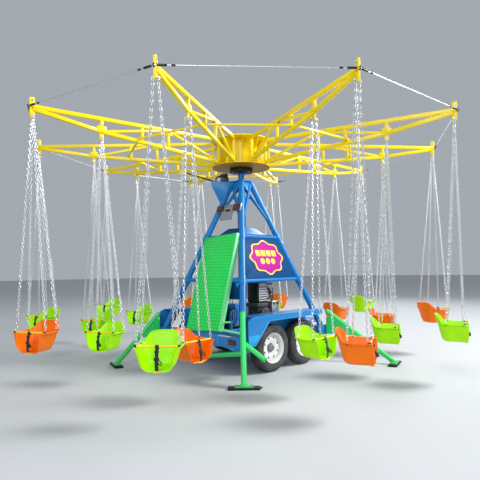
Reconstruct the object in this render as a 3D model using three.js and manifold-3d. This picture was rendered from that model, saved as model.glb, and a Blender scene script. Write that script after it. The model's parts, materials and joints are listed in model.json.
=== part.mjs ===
// A trailer-mounted children's chair swing ride at its real size, in millimetres.
// +Z is up. The origin is on the ground under the rotor's axis. +X is the towing end and
// +Y the left side of the trailer. Ten truss arms carry an outer and an inner bucket seat each.
import * as THREE from "three";
import { mergeVertices } from "three/addons/utils/BufferGeometryUtils.js";
import Module from "manifold-3d";

const wasm = await Module();
wasm.setup();

// Clearances
const SEAT_GAP = 0.3; // between pieces that rest on each other
const PIN_GAP = 0.9; // from a pin's radius to the corners of the hole round it
const OVERCUT = 10; // how far a cutting shape runs past the surface that it cuts through
const SITE_HALF = 4000; // half the side of a square wider than the whole ride

// Rotor
const ARM_COUNT = 10;
const FIRST_ARM_AZIMUTH = 210.3; // degrees from +X
const TIP_RADIUS = 3240;
const MID_RADIUS = 2380; // where the inner seats hang
const POST_B_RADIUS = 1790;
const POST_C_RADIUS = 1370;
const ROOT_RADIUS = 455;
const TOP_CHORD_ROOT_Z = 3562;
const TOP_CHORD_TIP_Z = 3512;
const BOTTOM_CHORD_ROOT_Z = 3214;
const BOTTOM_CHORD_MID_Z = 3360;
const BOTTOM_CHORD_TIP_Z = 3488;
const CHORD_SIZE = 52;
const POST_SIZE = 42;
const DIAGONAL_SIZE = 36;
const ARM_TUBE_WIDTH = 44; // across the arm, the same for all its tubes
const TIE_SIZE = 28;
const CABLE_RADIUS = 6;
const TIP_PLATE_THICKNESS = 24;
const TIP_PLATE_REACH = 30; // how far that plate stands out past the hanging pin
const TIP_POST_TOP_Z = 3620;

// Hub between the arms
const DISC_RADIUS = 475;
const DISC_BOTTOM_Z = 3170;
const DISC_THICKNESS = 14;
const DRUM_RADIUS = 280;
const TOP_PLATE_RADIUS = 485;
const TOP_PLATE_BOTTOM_Z = 3592;
const TOP_PLATE_THICKNESS = 14;
const HUB_BOSS_RADIUS = 180;
const HUB_BOSS_DROP = 5;

// Slewing ring, spigot and mast
const RING_RADIUS = 190;
const RING_BOTTOM_Z = 3098;
const SPIGOT_RADIUS = 60;
const SPIGOT_TOP_Z = 3260;
const MAST_RADIUS = 70;
const MAST_NECK_RADIUS = 52;
const MAST_NECK_Z = 2700;
const MAST_TOP_Z = 3080;

// Hanging pins and eyes
const PIN_RADIUS = 8;
const PIN_HALF_LENGTH = 36;
const PIN_DROP = 80; // from the chord's centre down to the pin
const PIN_MARGIN = 22; // of lug below the pin's centre
const CHAIN_OFFSET = 27; // from the arm's plane to a chain's end on the pin
const LUG_HALF_WIDTH = 28;
const LUG_THICKNESS = 16;

// Bucket seats, in their own frame: x forward, y to the left, z up from the underside
const SEAT_HEIGHT = 345;
const SEAT_HALF_BOTTOM = 155;
const SEAT_HALF_TOP = 205;
const SEAT_HALF_EARS = 230;
const SEAT_BACK_X = -165; // at the heel
const SEAT_BACK_TOP_X = -238; // where the leaning back ends
const SEAT_RIM_REAR_X = -100; // where the level rim starts to rise to the back
const SEAT_FRONT_X = 158;
const SEAT_EAR_Z = 225;
const SEAT_WALL = 12;
const SEAT_FLOOR_BEVEL = 52; // of the floor's side edges
const SEAT_HEEL = [45, 70]; // of the floor's rear edge: length and height
const SEAT_BACK_EDGE = [20, 22]; // of the back's upper edge
const SEAT_TOE = [38, 48]; // of the floor's front edge
const EAR_THICKNESS = 12;
const LAP_BAR_RADIUS = 11;
const LAP_BAR_X = 118;
const CHAIN_WIDTH = 16;
const CHAIN_SIDE = 214; // how far out from the middle the chains are hooked in
const CHAIN_FRONT_X = 98;
const CHAIN_REAR_X = -100;
const OUTER_SEAT_Z = 567;
const INNER_SEAT_Z = 477;

// Which way each seat faces, in degrees turned left from straight outward, and its plastic
const SEATS = [
  { outer: { turn: 12, plastic: "lime" }, inner: { turn: 63, plastic: "orange" } },
  { outer: { turn: 48, plastic: "orange" }, inner: { turn: 24, plastic: "lime" } },
  { outer: { turn: 6, plastic: "lime" }, inner: { turn: 10, plastic: "lime" } },
  { outer: { turn: 20, plastic: "orange" }, inner: { turn: -30, plastic: "orange" } },
  { outer: { turn: 6, plastic: "lime" }, inner: { turn: 8, plastic: "orange" } },
  { outer: { turn: 15, plastic: "orange" }, inner: { turn: 20, plastic: "lime" } },
  { outer: { turn: 10, plastic: "orange" }, inner: { turn: 0, plastic: "lime" } },
  { outer: { turn: 100, plastic: "lime" }, inner: { turn: 90, plastic: "lime" } },
  { outer: { turn: 60, plastic: "lime" }, inner: { turn: 60, plastic: "lime" } },
  { outer: { turn: 33, plastic: "orange" }, inner: { turn: 30, plastic: "lime" } },
];

// Tower
const LEG_RADIUS = 46;
const LEG_SIDES = 16;
const LEG_FOOT_HALF = 930; // half the side of the square of leg axes, at LEG_FOOT_Z
const LEG_FOOT_Z = 500;
const LEG_HEAD_HALF = 114; // the same at LEG_HEAD_Z
const LEG_HEAD_Z = 2900;
const LEG_OVERLENGTH = 100; // of a leg's tube before its ends are trimmed level
const FOOT_WELD = 2; // how deep a leg's tube sits in its foot plate
const LOWER_RING_Z = 1340;
const UPPER_RING_Z = 2020;
const RAIL_RADIUS = 30;
const RAIL_SIDES = 8;
const COLLAR_SIDES = 8;
const COLLAR_WALL = 8;
const COLLAR_HEIGHT = 110;
const HEAD_HALF = 152; // of the plate over the legs' upper ends
const HEAD_SKIRT_HALF = 122; // of the square of plates under it, between the legs
const HEAD_WALL = 12;
const HEAD_BOTTOM_Z = 2865;
const HEAD_TOP_Z = 2950;
const BRACE_FOOT_Z = 2200;
const BRACE_HEAD_HALF = 118;
const BRACE_RADIUS = 18;
const STRONG_BRACE_RADIUS = 25;
const GUSSET_HALF = 80;
const GUSSET_DEPTH = 275;
const GUSSET_THICKNESS = 8;
const BRACKET_REACH = 490; // of the motor bracket, from the axis along the diagonal
const BRACKET_HALF_WIDTH = 75;
const BRACKET_PLATE = 10;
const BRACKET_FOOT_Z = 2570;
const BRACKET_TOE = [295, 340]; // where the bracket's toe starts and ends, from the axis
const BRACKET_NOSE = 65; // height of the bracket's outer end
const BRACKET_LAP = 20; // how far the bracket's top plate reaches over the head
const MOTOR_REACH = 275; // of the drive motor, from the axis along the diagonal
const GEARBOX_HALF = [65, 60];
const GEARBOX_HEIGHT = 60;
const MOTOR_RADIUS = 48;
const MOTOR_HEIGHT = 130;
const PUMP_RADIUS = 34;
const PUMP_Z = 90; // of the crosswise drum over the bracket
const PUMP_ENDS = [-55, 75];
const ARM_FOOT = { start: 275, end: 470, halfWidth: 15, height: 8 };
const ARM_TIP = [915, 3107]; // of the thin arm under the rotor: distance from the axis, and Z
const ARM_RADIUS = 12;

// Panels on the tower
const SIGN_THICKNESS = 10;
const SIGN_OUTSET = 12;
const HOOD_BASE_HALF = 285;
const HOOD_TOP_HALF = 160;
const HOOD_HEIGHT = 120;
const HOOD_PLATE_HALF = 428;
const HOOD_PLATE_THICKNESS = 5;
const RAMP_WIDTH = 745;
const RAMP_LENGTH = 1520;
const RAMP_DEPTH = 70;
const RAMP_WALL = 6;
const RAMP_CENTRE_Y = -135;
const RAMP_TILT = 3.8; // degrees that it leans to the left
const RAMP_FOOT_Z = 586;
const LIGHT_BAR_WIDTH = 550;
const LIGHT_BAR_HEIGHT = 115;
const LIGHT_BAR_THICKNESS = 30;
const LIGHT_BAR_Z = 2477;
const LIGHT_BAR_Y = -35;
const PLATE_BRACKET_WIDTH = 280;
const PLATE_BRACKET_DROP = 150;
const PLATE_BRACKET_THICKNESS = 6;
const REAR_PANEL = { y: [-580, -100], bottomZ: 1065, thickness: 8 };

// Trailer
const CHASSIS_HALF_X = 985;
const CHASSIS_HALF_Y = 760;
const CHASSIS_TOP_Z = 560;
const CHANNEL_HEIGHT = 100;
const CHANNEL_WIDTH = 60;
const DECK_THICKNESS = 6;
const CROSS_MEMBER_X = 330;
const END_BEAM_INNER_X = 845;
const END_BEAM_BOTTOM_Z = 410;
const CORNER_INNER = 805;
const CORNER_HALF_Y = 975; // also half the length of the end beams
const CORNER_BOTTOM_Z = 370;
const LEG_PLATE_THICKNESS = 12;
const LEG_PLATE_INNER = 845;
const LEG_PLATE_OUTER = 972;
const DRAWBAR_END_X = 1850;
const DRAWBAR_SPREAD = 420;
const DRAWBAR_SIZE = 76;
const DRAWBAR_Z = 500;

// Wheels
const WHEEL_RADIUS = 345;
const WHEEL_WIDTH = 190;
const WHEEL_CENTRE_Y = 875;
const WHEEL_Z = 353; // the feet carry the ride and hold the tyres 8 mm off the ground
const WHEEL_X = [-330, 415];
const RIM_RADIUS = 215;
const HUB_RADIUS = 62;
const AXLE_RADIUS = 25;
const AXLE_END_Y = 933;

// Mudguards
const GUARD_REAR_X = -940;
const GUARD_FRONT_X = 775;
const GUARD_TOP_Z = 855;
const GUARD_BAND = 85;
const GUARD_OUTER_Y = 1040;
const GUARD_SHEET = 6;
const GUARD_WALL_HALF_X = 700; // the top is cut back beyond this, to pass the legs
const GUARD_END_INNER_Y = 880;
const GUARD_CHAMFER = [100, 45]; // of its upper rear corner: length and height
const SKIRT_FRONT_X = -800; // the skirt's lower front corner
const SKIRT_KNEE_X = -500; // where its raked edge meets the band
const SKIRT_BOTTOM_Z = 450;

// Outriggers: where each foot stands, and the height of the strut's upper end
const OUTRIGGERS = [
  { name: "rear_right", foot: [-1300, -1300], topZ: 930 },
  { name: "rear_left", foot: [-1665, 1192], topZ: 800 },
  { name: "front_right", foot: [1295, -2024], topZ: 800 },
  { name: "front_left", foot: [1295, 2024], topZ: 800 },
];
const STRUT_RADIUS = 38;
const PAD_SIZE = [130, 410]; // along the strut's run on the ground, and across it
const PAD_THICKNESS = 28;
const FLANGE_SIZE = [96, 240];
const FLANGE_THICKNESS = 14;
const BRACKET_BOTTOM_Z = 420;
const BRACKET_TOP_Z = 700;
const OUTRIGGER_BRACKET_HALF = 30;
const STUB_RADIUS = 33;
// The two spare struts folded down beside the rear right outrigger, end to end
const FOLDED_STRUTS = [
  { from: [-1085, -1100, 530], to: [-1000, -1400, 335] },
  { from: [-1120, -1100, 400], to: [-985, -200, 235] },
];

// Power unit: boxes on the deck, each with the height of its top above the deck and, where
// it doesn't stand on the deck, of its underside
const POWER_UNIT = [
  { x: [-300, 330], y: [-640, -120], top: 50 }, // skid
  { x: [-330, -250], y: [-300, 300], top: 40 }, // the rail from it to the reservoir
  { x: [-230, 130], y: [-560, -230], top: 420 }, // engine
  { x: [-190, 40], y: [-520, -280], top: 760 }, // cowl and air box over it
  { x: [120, 285], y: [-540, -340], top: 430 }, // battery case
  { x: [30, 190], y: [-480, -360], under: 520, top: 770 }, // fuel tank
  { x: [-420, -120], y: [120, 460], top: 380 }, // oil reservoir
  { x: [-650, -290], y: [-385, -335], top: 40 }, // foot of the valve stand
  { x: [-640, -600], y: [-378, -342], top: 350 }, // valve stand
  { x: [-700, -560], y: [-400, -320], under: 345, top: 430 }, // valves on it
];

// Paints and other finishes
const paint = (color, roughness = 0.45, metalness = 0.1) =>
  new THREE.MeshStandardMaterial({ color, roughness, metalness });
const YELLOW = paint("#ffe000");
const BLUE = paint("#0b6fd0");
const DARK_BLUE = paint("#0a4f9e");
const GREEN = paint("#22d65a");
const BLACK = paint("#16181a", 0.6);
const GREY = paint("#9da3a8", 0.5, 0.4);
const STEEL = paint("#c8ccd2", 0.35, 0.9);
const TYRE = paint("#3a3a3c", 0.9, 0);
const PLASTIC = { lime: paint("#a6f500", 0.4, 0), orange: paint("#ff6a00", 0.4, 0) };

// A closed geometry as a solid that can be joined and cut
function solid(geometry) {
  const plain = geometry.index ? geometry.toNonIndexed() : geometry.clone();
  plain.deleteAttribute("normal");
  plain.deleteAttribute("uv");
  const merged = mergeVertices(plain, 1e-3);
  const triVerts = new Uint32Array(merged.index.array);
  const vertProperties = merged.attributes.position.array;
  return new wasm.Manifold(new wasm.Mesh({ numProp: 3, vertProperties, triVerts }));
}

function geometryOf(body) {
  const { vertProperties, triVerts } = body.getMesh();
  const geometry = new THREE.BufferGeometry();
  geometry.setAttribute("position", new THREE.BufferAttribute(vertProperties, 3));
  geometry.setIndex(new THREE.BufferAttribute(triVerts, 1));
  geometry.computeVertexNormals();
  return geometry;
}

const join = (...geometries) => geometries.map(solid).reduce((whole, next) => whole.add(next));

const cut = (body, ...tools) => tools.reduce((rest, tool) => rest.subtract(solid(tool)), body);

function named(name, body, material) {
  const geometry = body.isBufferGeometry ? body : geometryOf(body);
  const mesh = new THREE.Mesh(geometry, material);
  mesh.name = name;
  return mesh;
}

// A box given by its lowest and highest corners
function box([x0, y0, z0], [x1, y1, z1]) {
  const geometry = new THREE.BoxGeometry(x1 - x0, y1 - y0, z1 - z0);
  return geometry.translate((x0 + x1) / 2, (y0 + y1) / 2, (z0 + z1) / 2);
}

// Everything between two heights, for trimming
const slab = (z0, z1) => box([-SITE_HALF, -SITE_HALF, z0], [SITE_HALF, SITE_HALF, z1]);

// A round bar between two points
function rod(from, to, radius, sides = 12) {
  const start = new THREE.Vector3(...from);
  const run = new THREE.Vector3(...to).sub(start);
  const turn = new THREE.Quaternion().setFromUnitVectors(
    new THREE.Vector3(0, 1, 0),
    run.clone().normalize(),
  );
  const geometry = new THREE.CylinderGeometry(radius, radius, run.length(), sides);
  geometry.applyQuaternion(turn);
  return geometry.translate(...start.addScaledVector(run, 0.5));
}

// An outline drawn in the XZ plane and made solid on both sides of it
function plateXZ(outline, thickness, curveSegments = 5) {
  const options = { depth: thickness, bevelEnabled: false, curveSegments };
  const geometry = new THREE.ExtrudeGeometry(outline, options);
  return geometry.rotateX(Math.PI / 2).translate(0, thickness / 2, 0);
}

function polygon(points) {
  return new THREE.Shape(points.map(([x, y]) => new THREE.Vector2(x, y)));
}

// The polygon whose sides lie a given distance inside those of a counterclockwise one;
// margins[k] is for the side from points[k] to the next point
function inset(points, margins) {
  const lines = points.map(([x, y], k) => {
    const [nextX, nextY] = points[(k + 1) % points.length];
    const length = Math.hypot(nextX - x, nextY - y);
    const a = -(nextY - y) / length;
    const b = (nextX - x) / length;
    return { a, b, c: a * x + b * y + margins[k] };
  });
  return lines.map((line, k) => {
    const before = lines[(k + lines.length - 1) % lines.length];
    const det = before.a * line.b - line.a * before.b;
    const x = (before.c * line.b - line.c * before.b) / det;
    const y = (before.a * line.c - line.a * before.c) / det;
    return [x, y];
  });
}

// A profile of [radius, height] points turned about the Z axis
function turned(profile, sides) {
  const points = profile.map(([radius, height]) => new THREE.Vector2(radius, height));
  return new THREE.LatheGeometry(points, sides).rotateX(Math.PI / 2);
}

// A flat ring with straight sides, one corner over each arm
function polygonRing(cornerRadius, width, bottomZ, height) {
  const corner = (radius, k) => {
    const angle = (k * 2 * Math.PI) / ARM_COUNT;
    return new THREE.Vector2(radius * Math.cos(angle), radius * Math.sin(angle));
  };
  const inner = cornerRadius - width / Math.cos(Math.PI / ARM_COUNT);
  const outline = new THREE.Shape();
  const hole = new THREE.Path();
  const corners = [...Array(ARM_COUNT).keys()];
  outline.setFromPoints(corners.map((k) => corner(cornerRadius, k)));
  hole.setFromPoints(corners.map((k) => corner(inner, k)));
  outline.holes.push(hole);
  const geometry = new THREE.ExtrudeGeometry(outline, { depth: height, bevelEnabled: false });
  return geometry.translate(0, 0, bottomZ);
}

// Arms: planar trusses with a pin for each seat
const topChordZ = (radius) =>
  THREE.MathUtils.mapLinear(radius, ROOT_RADIUS, TIP_RADIUS, TOP_CHORD_ROOT_Z, TOP_CHORD_TIP_Z);

const bottomChordZ = (radius) =>
  THREE.MathUtils.mapLinear(
    radius,
    ROOT_RADIUS,
    MID_RADIUS,
    BOTTOM_CHORD_ROOT_Z,
    BOTTOM_CHORD_MID_Z,
  );

const OUTER_PIN_Z = BOTTOM_CHORD_TIP_Z - PIN_DROP;
const INNER_PIN_Z = BOTTOM_CHORD_MID_Z - PIN_DROP;

// A plate in the arm's plane with the hole that a hanging pin turns in
function pinPlate([x0, z0], [x1, z1], thickness, pinX, pinZ) {
  const outline = polygon([
    [x0, z0],
    [x1, z0],
    [x1, z1],
    [x0, z1],
  ]);
  const hole = new THREE.Path().absarc(pinX, pinZ, PIN_RADIUS + PIN_GAP, 0, 2 * Math.PI);
  outline.holes.push(hole);
  return plateXZ(outline, thickness, 4);
}

// The truss is one outline with a hole for each bay between its tubes
function trussGeometry() {
  const chord = CHORD_SIZE / 2;
  const post = POST_SIZE / 2;
  const diagonal = DIAGONAL_SIZE / 2;
  const top = (radius) => [radius, topChordZ(radius)];
  const bottom = (radius) => [radius, bottomChordZ(radius)];
  const tip = [TIP_RADIUS, BOTTOM_CHORD_TIP_Z];
  const tipTop = top(TIP_RADIUS);
  const aFoot = bottom(MID_RADIUS);
  const cTop = top(POST_C_RADIUS);
  const onDiagonal = (radius) => [
    radius,
    THREE.MathUtils.mapLinear(radius, cTop[0], aFoot[0], cTop[1], aFoot[1]),
  ];
  const [rootFoot, cFoot, bFoot] = [ROOT_RADIUS, POST_C_RADIUS, POST_B_RADIUS].map(bottom);
  const [rootTop, bTop, aTop] = [ROOT_RADIUS, POST_B_RADIUS, MID_RADIUS].map(top);
  const bMiddle = onDiagonal(POST_B_RADIUS);
  const closing =
    (aTop[1] - aFoot[1] - tipTop[1] + tip[1]) / (aTop[1] - aFoot[1]) / (TIP_RADIUS - MID_RADIUS);
  const apex = top(MID_RADIUS + 1 / closing); // where the lines of the two chords meet
  const bays = [
    { corners: [rootFoot, cTop, rootTop], margins: [diagonal, chord, post] },
    { corners: [rootFoot, cFoot, cTop], margins: [chord, post, diagonal] },
    { corners: [cFoot, bFoot, bMiddle, cTop], margins: [chord, post, diagonal, post] },
    { corners: [cTop, bMiddle, bTop], margins: [diagonal, post, chord] },
    { corners: [bFoot, aFoot, bMiddle], margins: [chord, diagonal, post] },
    { corners: [bMiddle, aFoot, aTop, bTop], margins: [diagonal, post, chord, post] },
    { corners: [aFoot, apex, aTop], margins: [chord, chord, post] },
  ];
  const lower = inset([rootFoot, aFoot, tip, tipTop, rootTop], [-chord, -chord, 0, -chord, -post]);
  const outline = polygon([
    [ROOT_RADIUS - post, DISC_BOTTOM_Z + DISC_THICKNESS + SEAT_GAP],
    [ROOT_RADIUS + post, DISC_BOTTOM_Z + DISC_THICKNESS + SEAT_GAP],
    [ROOT_RADIUS + post, bottomChordZ(ROOT_RADIUS + post) - chord],
    ...lower.slice(1, 4),
    [ROOT_RADIUS + post, topChordZ(ROOT_RADIUS + post) + chord],
    [ROOT_RADIUS + post, TOP_PLATE_BOTTOM_Z - SEAT_GAP],
    [ROOT_RADIUS - post, TOP_PLATE_BOTTOM_Z - SEAT_GAP],
  ]);
  outline.holes = bays.map(({ corners, margins }) => polygon(inset(corners, margins)));
  return plateXZ(outline, ARM_TUBE_WIDTH);
}

function armBody() {
  const tipPlate = pinPlate(
    [TIP_RADIUS - TIP_PLATE_REACH, OUTER_PIN_Z - PIN_MARGIN],
    [TIP_RADIUS + TIP_PLATE_REACH, TIP_POST_TOP_Z],
    TIP_PLATE_THICKNESS,
    TIP_RADIUS,
    OUTER_PIN_Z,
  );
  const lug = pinPlate(
    [MID_RADIUS - LUG_HALF_WIDTH, INNER_PIN_Z - PIN_MARGIN],
    [MID_RADIUS + LUG_HALF_WIDTH, BOTTOM_CHORD_MID_Z],
    LUG_THICKNESS,
    MID_RADIUS,
    INNER_PIN_Z,
  );
  return join(trussGeometry(), tipPlate, lug);
}

// Ties on top of the bottom chords, from arm to arm, just outside the posts
function tieRingGeometry() {
  const turnAngle = Math.PI / ARM_COUNT;
  const slant = (ARM_TUBE_WIDTH / 2) * Math.tan(turnAngle);
  const inner = POST_B_RADIUS + POST_SIZE / 2 + SEAT_GAP + slant;
  const corner = inner + TIE_SIZE / Math.cos(turnAngle);
  const slope = (BOTTOM_CHORD_MID_Z - BOTTOM_CHORD_ROOT_Z) / (MID_RADIUS - ROOT_RADIUS);
  const chordTop = bottomChordZ(corner) + CHORD_SIZE / 2 / Math.cos(Math.atan(slope));
  return polygonRing(corner, TIE_SIZE, chordTop + SEAT_GAP, TIE_SIZE);
}

// The stay cable runs from tip to tip and bends over the edges of the tip plates
function cableGeometry() {
  const edge = TIP_RADIUS + TIP_PLATE_REACH + SEAT_GAP;
  const slant = (TIP_PLATE_THICKNESS / 2) * Math.tan(Math.PI / ARM_COUNT);
  const width = 2 * CABLE_RADIUS;
  const corner = edge + slant + width / Math.cos(Math.PI / ARM_COUNT);
  return polygonRing(corner, width, TOP_CHORD_TIP_Z - CABLE_RADIUS, width);
}

function hubGeometry() {
  const bore = SPIGOT_RADIUS + PIN_GAP;
  const boreTop = SPIGOT_TOP_Z + 5;
  const discTop = DISC_BOTTOM_Z + DISC_THICKNESS;
  const plateTop = TOP_PLATE_BOTTOM_Z + TOP_PLATE_THICKNESS;
  const bossBottom = DISC_BOTTOM_Z - HUB_BOSS_DROP;
  return turned(
    [
      [0, boreTop],
      [bore, boreTop],
      [bore, bossBottom],
      [HUB_BOSS_RADIUS, bossBottom],
      [HUB_BOSS_RADIUS, DISC_BOTTOM_Z],
      [DISC_RADIUS, DISC_BOTTOM_Z],
      [DISC_RADIUS, discTop],
      [DRUM_RADIUS, discTop],
      [DRUM_RADIUS, TOP_PLATE_BOTTOM_Z],
      [TOP_PLATE_RADIUS, TOP_PLATE_BOTTOM_Z],
      [TOP_PLATE_RADIUS, plateTop],
      [0, plateTop],
    ],
    20,
  );
}

// Bucket seat: a shell cut from a side outline crossed with a front outline
function sideOutline(inset) {
  const [heelLength, heelHeight] = SEAT_HEEL;
  const lean = (SEAT_BACK_X - SEAT_BACK_TOP_X) / (SEAT_HEIGHT - heelHeight);
  const backAt = (z) => SEAT_BACK_X + inset - lean * (z - inset - heelHeight);
  const heel = [
    [SEAT_BACK_X + inset, inset + heelHeight],
    [SEAT_BACK_X + inset + heelLength, inset],
  ];
  if (inset === 0) {
    const edgeZ = SEAT_HEIGHT - SEAT_BACK_EDGE[1];
    return polygon([
      ...heel,
      [SEAT_FRONT_X - SEAT_TOE[0], 0],
      [SEAT_FRONT_X, SEAT_TOE[1]],
      [SEAT_FRONT_X - 8, SEAT_EAR_Z],
      [SEAT_RIM_REAR_X, SEAT_EAR_Z],
      [SEAT_BACK_TOP_X + SEAT_BACK_EDGE[0], SEAT_HEIGHT],
      [backAt(edgeZ), edgeZ],
    ]);
  }
  const past = SEAT_HEIGHT + 5 * OVERCUT;
  return polygon([
    ...heel,
    [SEAT_FRONT_X + 5 * OVERCUT, inset],
    [SEAT_FRONT_X + 5 * OVERCUT, past],
    [backAt(past), past],
  ]);
}

function frontOutline(inset) {
  const low = SEAT_HALF_BOTTOM - inset;
  const outline = polygon([
    [-low, inset + SEAT_FLOOR_BEVEL],
    [SEAT_FLOOR_BEVEL - low, inset],
    [low - SEAT_FLOOR_BEVEL, inset],
    [low, inset + SEAT_FLOOR_BEVEL],
  ]);
  const rise = SEAT_HEIGHT - SEAT_EAR_Z - inset;
  outline.absellipse(0, SEAT_EAR_Z, SEAT_HALF_TOP - inset, rise, 0, Math.PI);
  return outline;
}

function bucketForm(inset) {
  const reach = 3 * SEAT_HALF_EARS;
  const side = solid(plateXZ(sideOutline(inset), reach));
  const front = solid(plateXZ(frontOutline(inset), reach, 3).rotateZ(Math.PI / 2));
  return side.intersect(front);
}

function bucketGeometry() {
  const shell = bucketForm(0).subtract(bucketForm(SEAT_WALL));
  const ears = [-1, 1].map((side) => {
    const inner = side * (SEAT_HALF_TOP - SEAT_WALL);
    const outer = side * SEAT_HALF_EARS;
    return box(
      [CHAIN_REAR_X - 18, Math.min(inner, outer), SEAT_EAR_Z - EAR_THICKNESS],
      [SEAT_FRONT_X - 30, Math.max(inner, outer), SEAT_EAR_Z],
    );
  });
  const barZ = SEAT_EAR_Z + LAP_BAR_RADIUS - 3;
  const barEnd = SEAT_HALF_EARS - 4;
  const lapBar = rod([LAP_BAR_X, -barEnd, barZ], [LAP_BAR_X, barEnd, barZ], LAP_BAR_RADIUS, 6);
  return geometryOf(shell.add(join(...ears, lapBar)));
}

// Two chains that meet at one point of the pin, as a flat V between three points
function chainPair(top, front, rear) {
  const along = front.clone().sub(rear).normalize();
  const across = along.clone().cross(top.clone().sub(front)).normalize();
  const up = across.clone().cross(along);
  const flat = (point) => {
    const from = point.clone().sub(top);
    return [from.dot(along), from.dot(up)];
  };
  const [frontX, drop] = flat(front);
  const [rearX] = flat(rear);
  const half = CHAIN_WIDTH / 2;
  const crotch = CHAIN_WIDTH / (frontX - rearX);
  const outline = polygon([
    [-half, 0],
    [rearX - half, drop],
    [rearX + half, drop],
    [half + crotch * rearX, crotch * drop],
    [frontX - half, drop],
    [frontX + half, drop],
    [half, 0],
  ]);
  const options = { depth: CHAIN_WIDTH, bevelEnabled: false };
  const geometry = new THREE.ExtrudeGeometry(outline, options).translate(0, 0, -half);
  const basis = new THREE.Matrix4().makeBasis(along, up, across).setPosition(top);
  return geometry.applyMatrix4(basis);
}

// One seat with its four chains, straight and plain, and the pin they hang on
function seatBody(bucket, { radius, pinZ, seatZ, turn }) {
  const angle = THREE.MathUtils.degToRad(turn);
  const pin = rod([radius, -PIN_HALF_LENGTH, pinZ], [radius, PIN_HALF_LENGTH, pinZ], PIN_RADIUS, 8);
  const chains = [-1, 1].map((side) => {
    const [front, rear] = [CHAIN_FRONT_X, CHAIN_REAR_X].map((x) => {
      const hook = new THREE.Vector3(x, side * CHAIN_SIDE, seatZ + SEAT_EAR_Z - EAR_THICKNESS / 2);
      hook.applyAxisAngle(new THREE.Vector3(0, 0, 1), angle);
      return hook.add(new THREE.Vector3(radius, 0, 0));
    });
    return chainPair(new THREE.Vector3(radius, side * CHAIN_OFFSET, pinZ), front, rear);
  });
  return join(bucket.clone().rotateZ(angle).translate(radius, 0, seatZ), pin, ...chains);
}

// Tower: four raked legs, two rings of rails, the head with its bracing
const legHalf = (z) =>
  THREE.MathUtils.mapLinear(z, LEG_FOOT_Z, LEG_HEAD_Z, LEG_FOOT_HALF, LEG_HEAD_HALF);

// How far the tower's faces lean inward from upright
const FACE_LEAN = Math.atan2(LEG_FOOT_HALF - LEG_HEAD_HALF, LEG_HEAD_Z - LEG_FOOT_Z);

const CORNERS = [
  { name: "rear_right", x: -1, y: -1 },
  { name: "front_right", x: 1, y: -1 },
  { name: "front_left", x: 1, y: 1 },
  { name: "rear_left", x: -1, y: 1 },
];

const legPoint = ({ x, y }, z) => [x * legHalf(z), y * legHalf(z), z];

function legTube(corner, bottomZ, topZ, radius, sides = LEG_SIDES) {
  return rod(legPoint(corner, bottomZ), legPoint(corner, topZ), radius, sides);
}

// The collar that joins the rails round a leg, or with some room, the space that it takes
function collar(corner, z, room = 0) {
  const half = COLLAR_HEIGHT / 2 + room;
  const radius = (LEG_RADIUS + COLLAR_WALL) / Math.cos(Math.PI / COLLAR_SIDES) + room;
  return legTube(corner, z - half, z + half, radius, COLLAR_SIDES);
}

// The legs with a little room round them, for cutting what meets them
const legRoom = CORNERS.map((corner) =>
  legTube(corner, LEG_FOOT_Z, HEAD_TOP_Z + LEG_OVERLENGTH, LEG_RADIUS + SEAT_GAP),
);

function legBody(corner) {
  const footTop = CHASSIS_TOP_Z + SEAT_GAP + LEG_PLATE_THICKNESS;
  const under = HEAD_TOP_Z - HEAD_WALL - SEAT_GAP;
  const tube = cut(
    solid(legTube(corner, LEG_FOOT_Z, HEAD_TOP_Z + LEG_OVERLENGTH, LEG_RADIUS)),
    slab(0, footTop - FOOT_WELD),
    slab(under, HEAD_TOP_Z + 2 * LEG_OVERLENGTH),
  );
  const near = [LEG_PLATE_INNER * corner.x, LEG_PLATE_INNER * corner.y];
  const far = [LEG_PLATE_OUTER * corner.x, LEG_PLATE_OUTER * corner.y];
  const foot = box(
    [Math.min(near[0], far[0]), Math.min(near[1], far[1]), CHASSIS_TOP_Z + SEAT_GAP],
    [Math.max(near[0], far[0]), Math.max(near[1], far[1]), footTop],
  );
  return tube.add(solid(foot));
}

// Rails from leg to leg at one height, held by a collar round each leg
function railRing(z) {
  const rails = CORNERS.map((corner, k) =>
    rod(legPoint(corner, z), legPoint(CORNERS[(k + 1) % 4], z), RAIL_RADIUS, RAIL_SIDES),
  );
  const collars = CORNERS.map((corner) => collar(corner, z));
  return cut(join(...rails, ...collars), ...legRoom);
}

// Crossed braces and a gusset on the rear face, turned about the axis for the other faces
function faceBracing(strong) {
  const top = HEAD_TOP_Z - HEAD_WALL / 2;
  const parts = [-1, 1].map((side) =>
    rod(
      [-legHalf(BRACE_FOOT_Z), side * legHalf(BRACE_FOOT_Z), BRACE_FOOT_Z],
      [-legHalf(top), -side * BRACE_HEAD_HALF, top],
      strong && side === 1 ? STRONG_BRACE_RADIUS : BRACE_RADIUS,
      6,
    ),
  );
  const outline = polygon([
    [-GUSSET_HALF, top],
    [0, top - GUSSET_DEPTH],
    [GUSSET_HALF, top],
  ]);
  const gusset = plateXZ(outline, GUSSET_THICKNESS).translate(0, 0, -top);
  gusset.rotateX(FACE_LEAN).translate(0, 0, top).rotateZ(Math.PI / 2);
  parts.push(gusset.translate(-legHalf(top), 0, 0));
  return parts;
}

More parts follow.
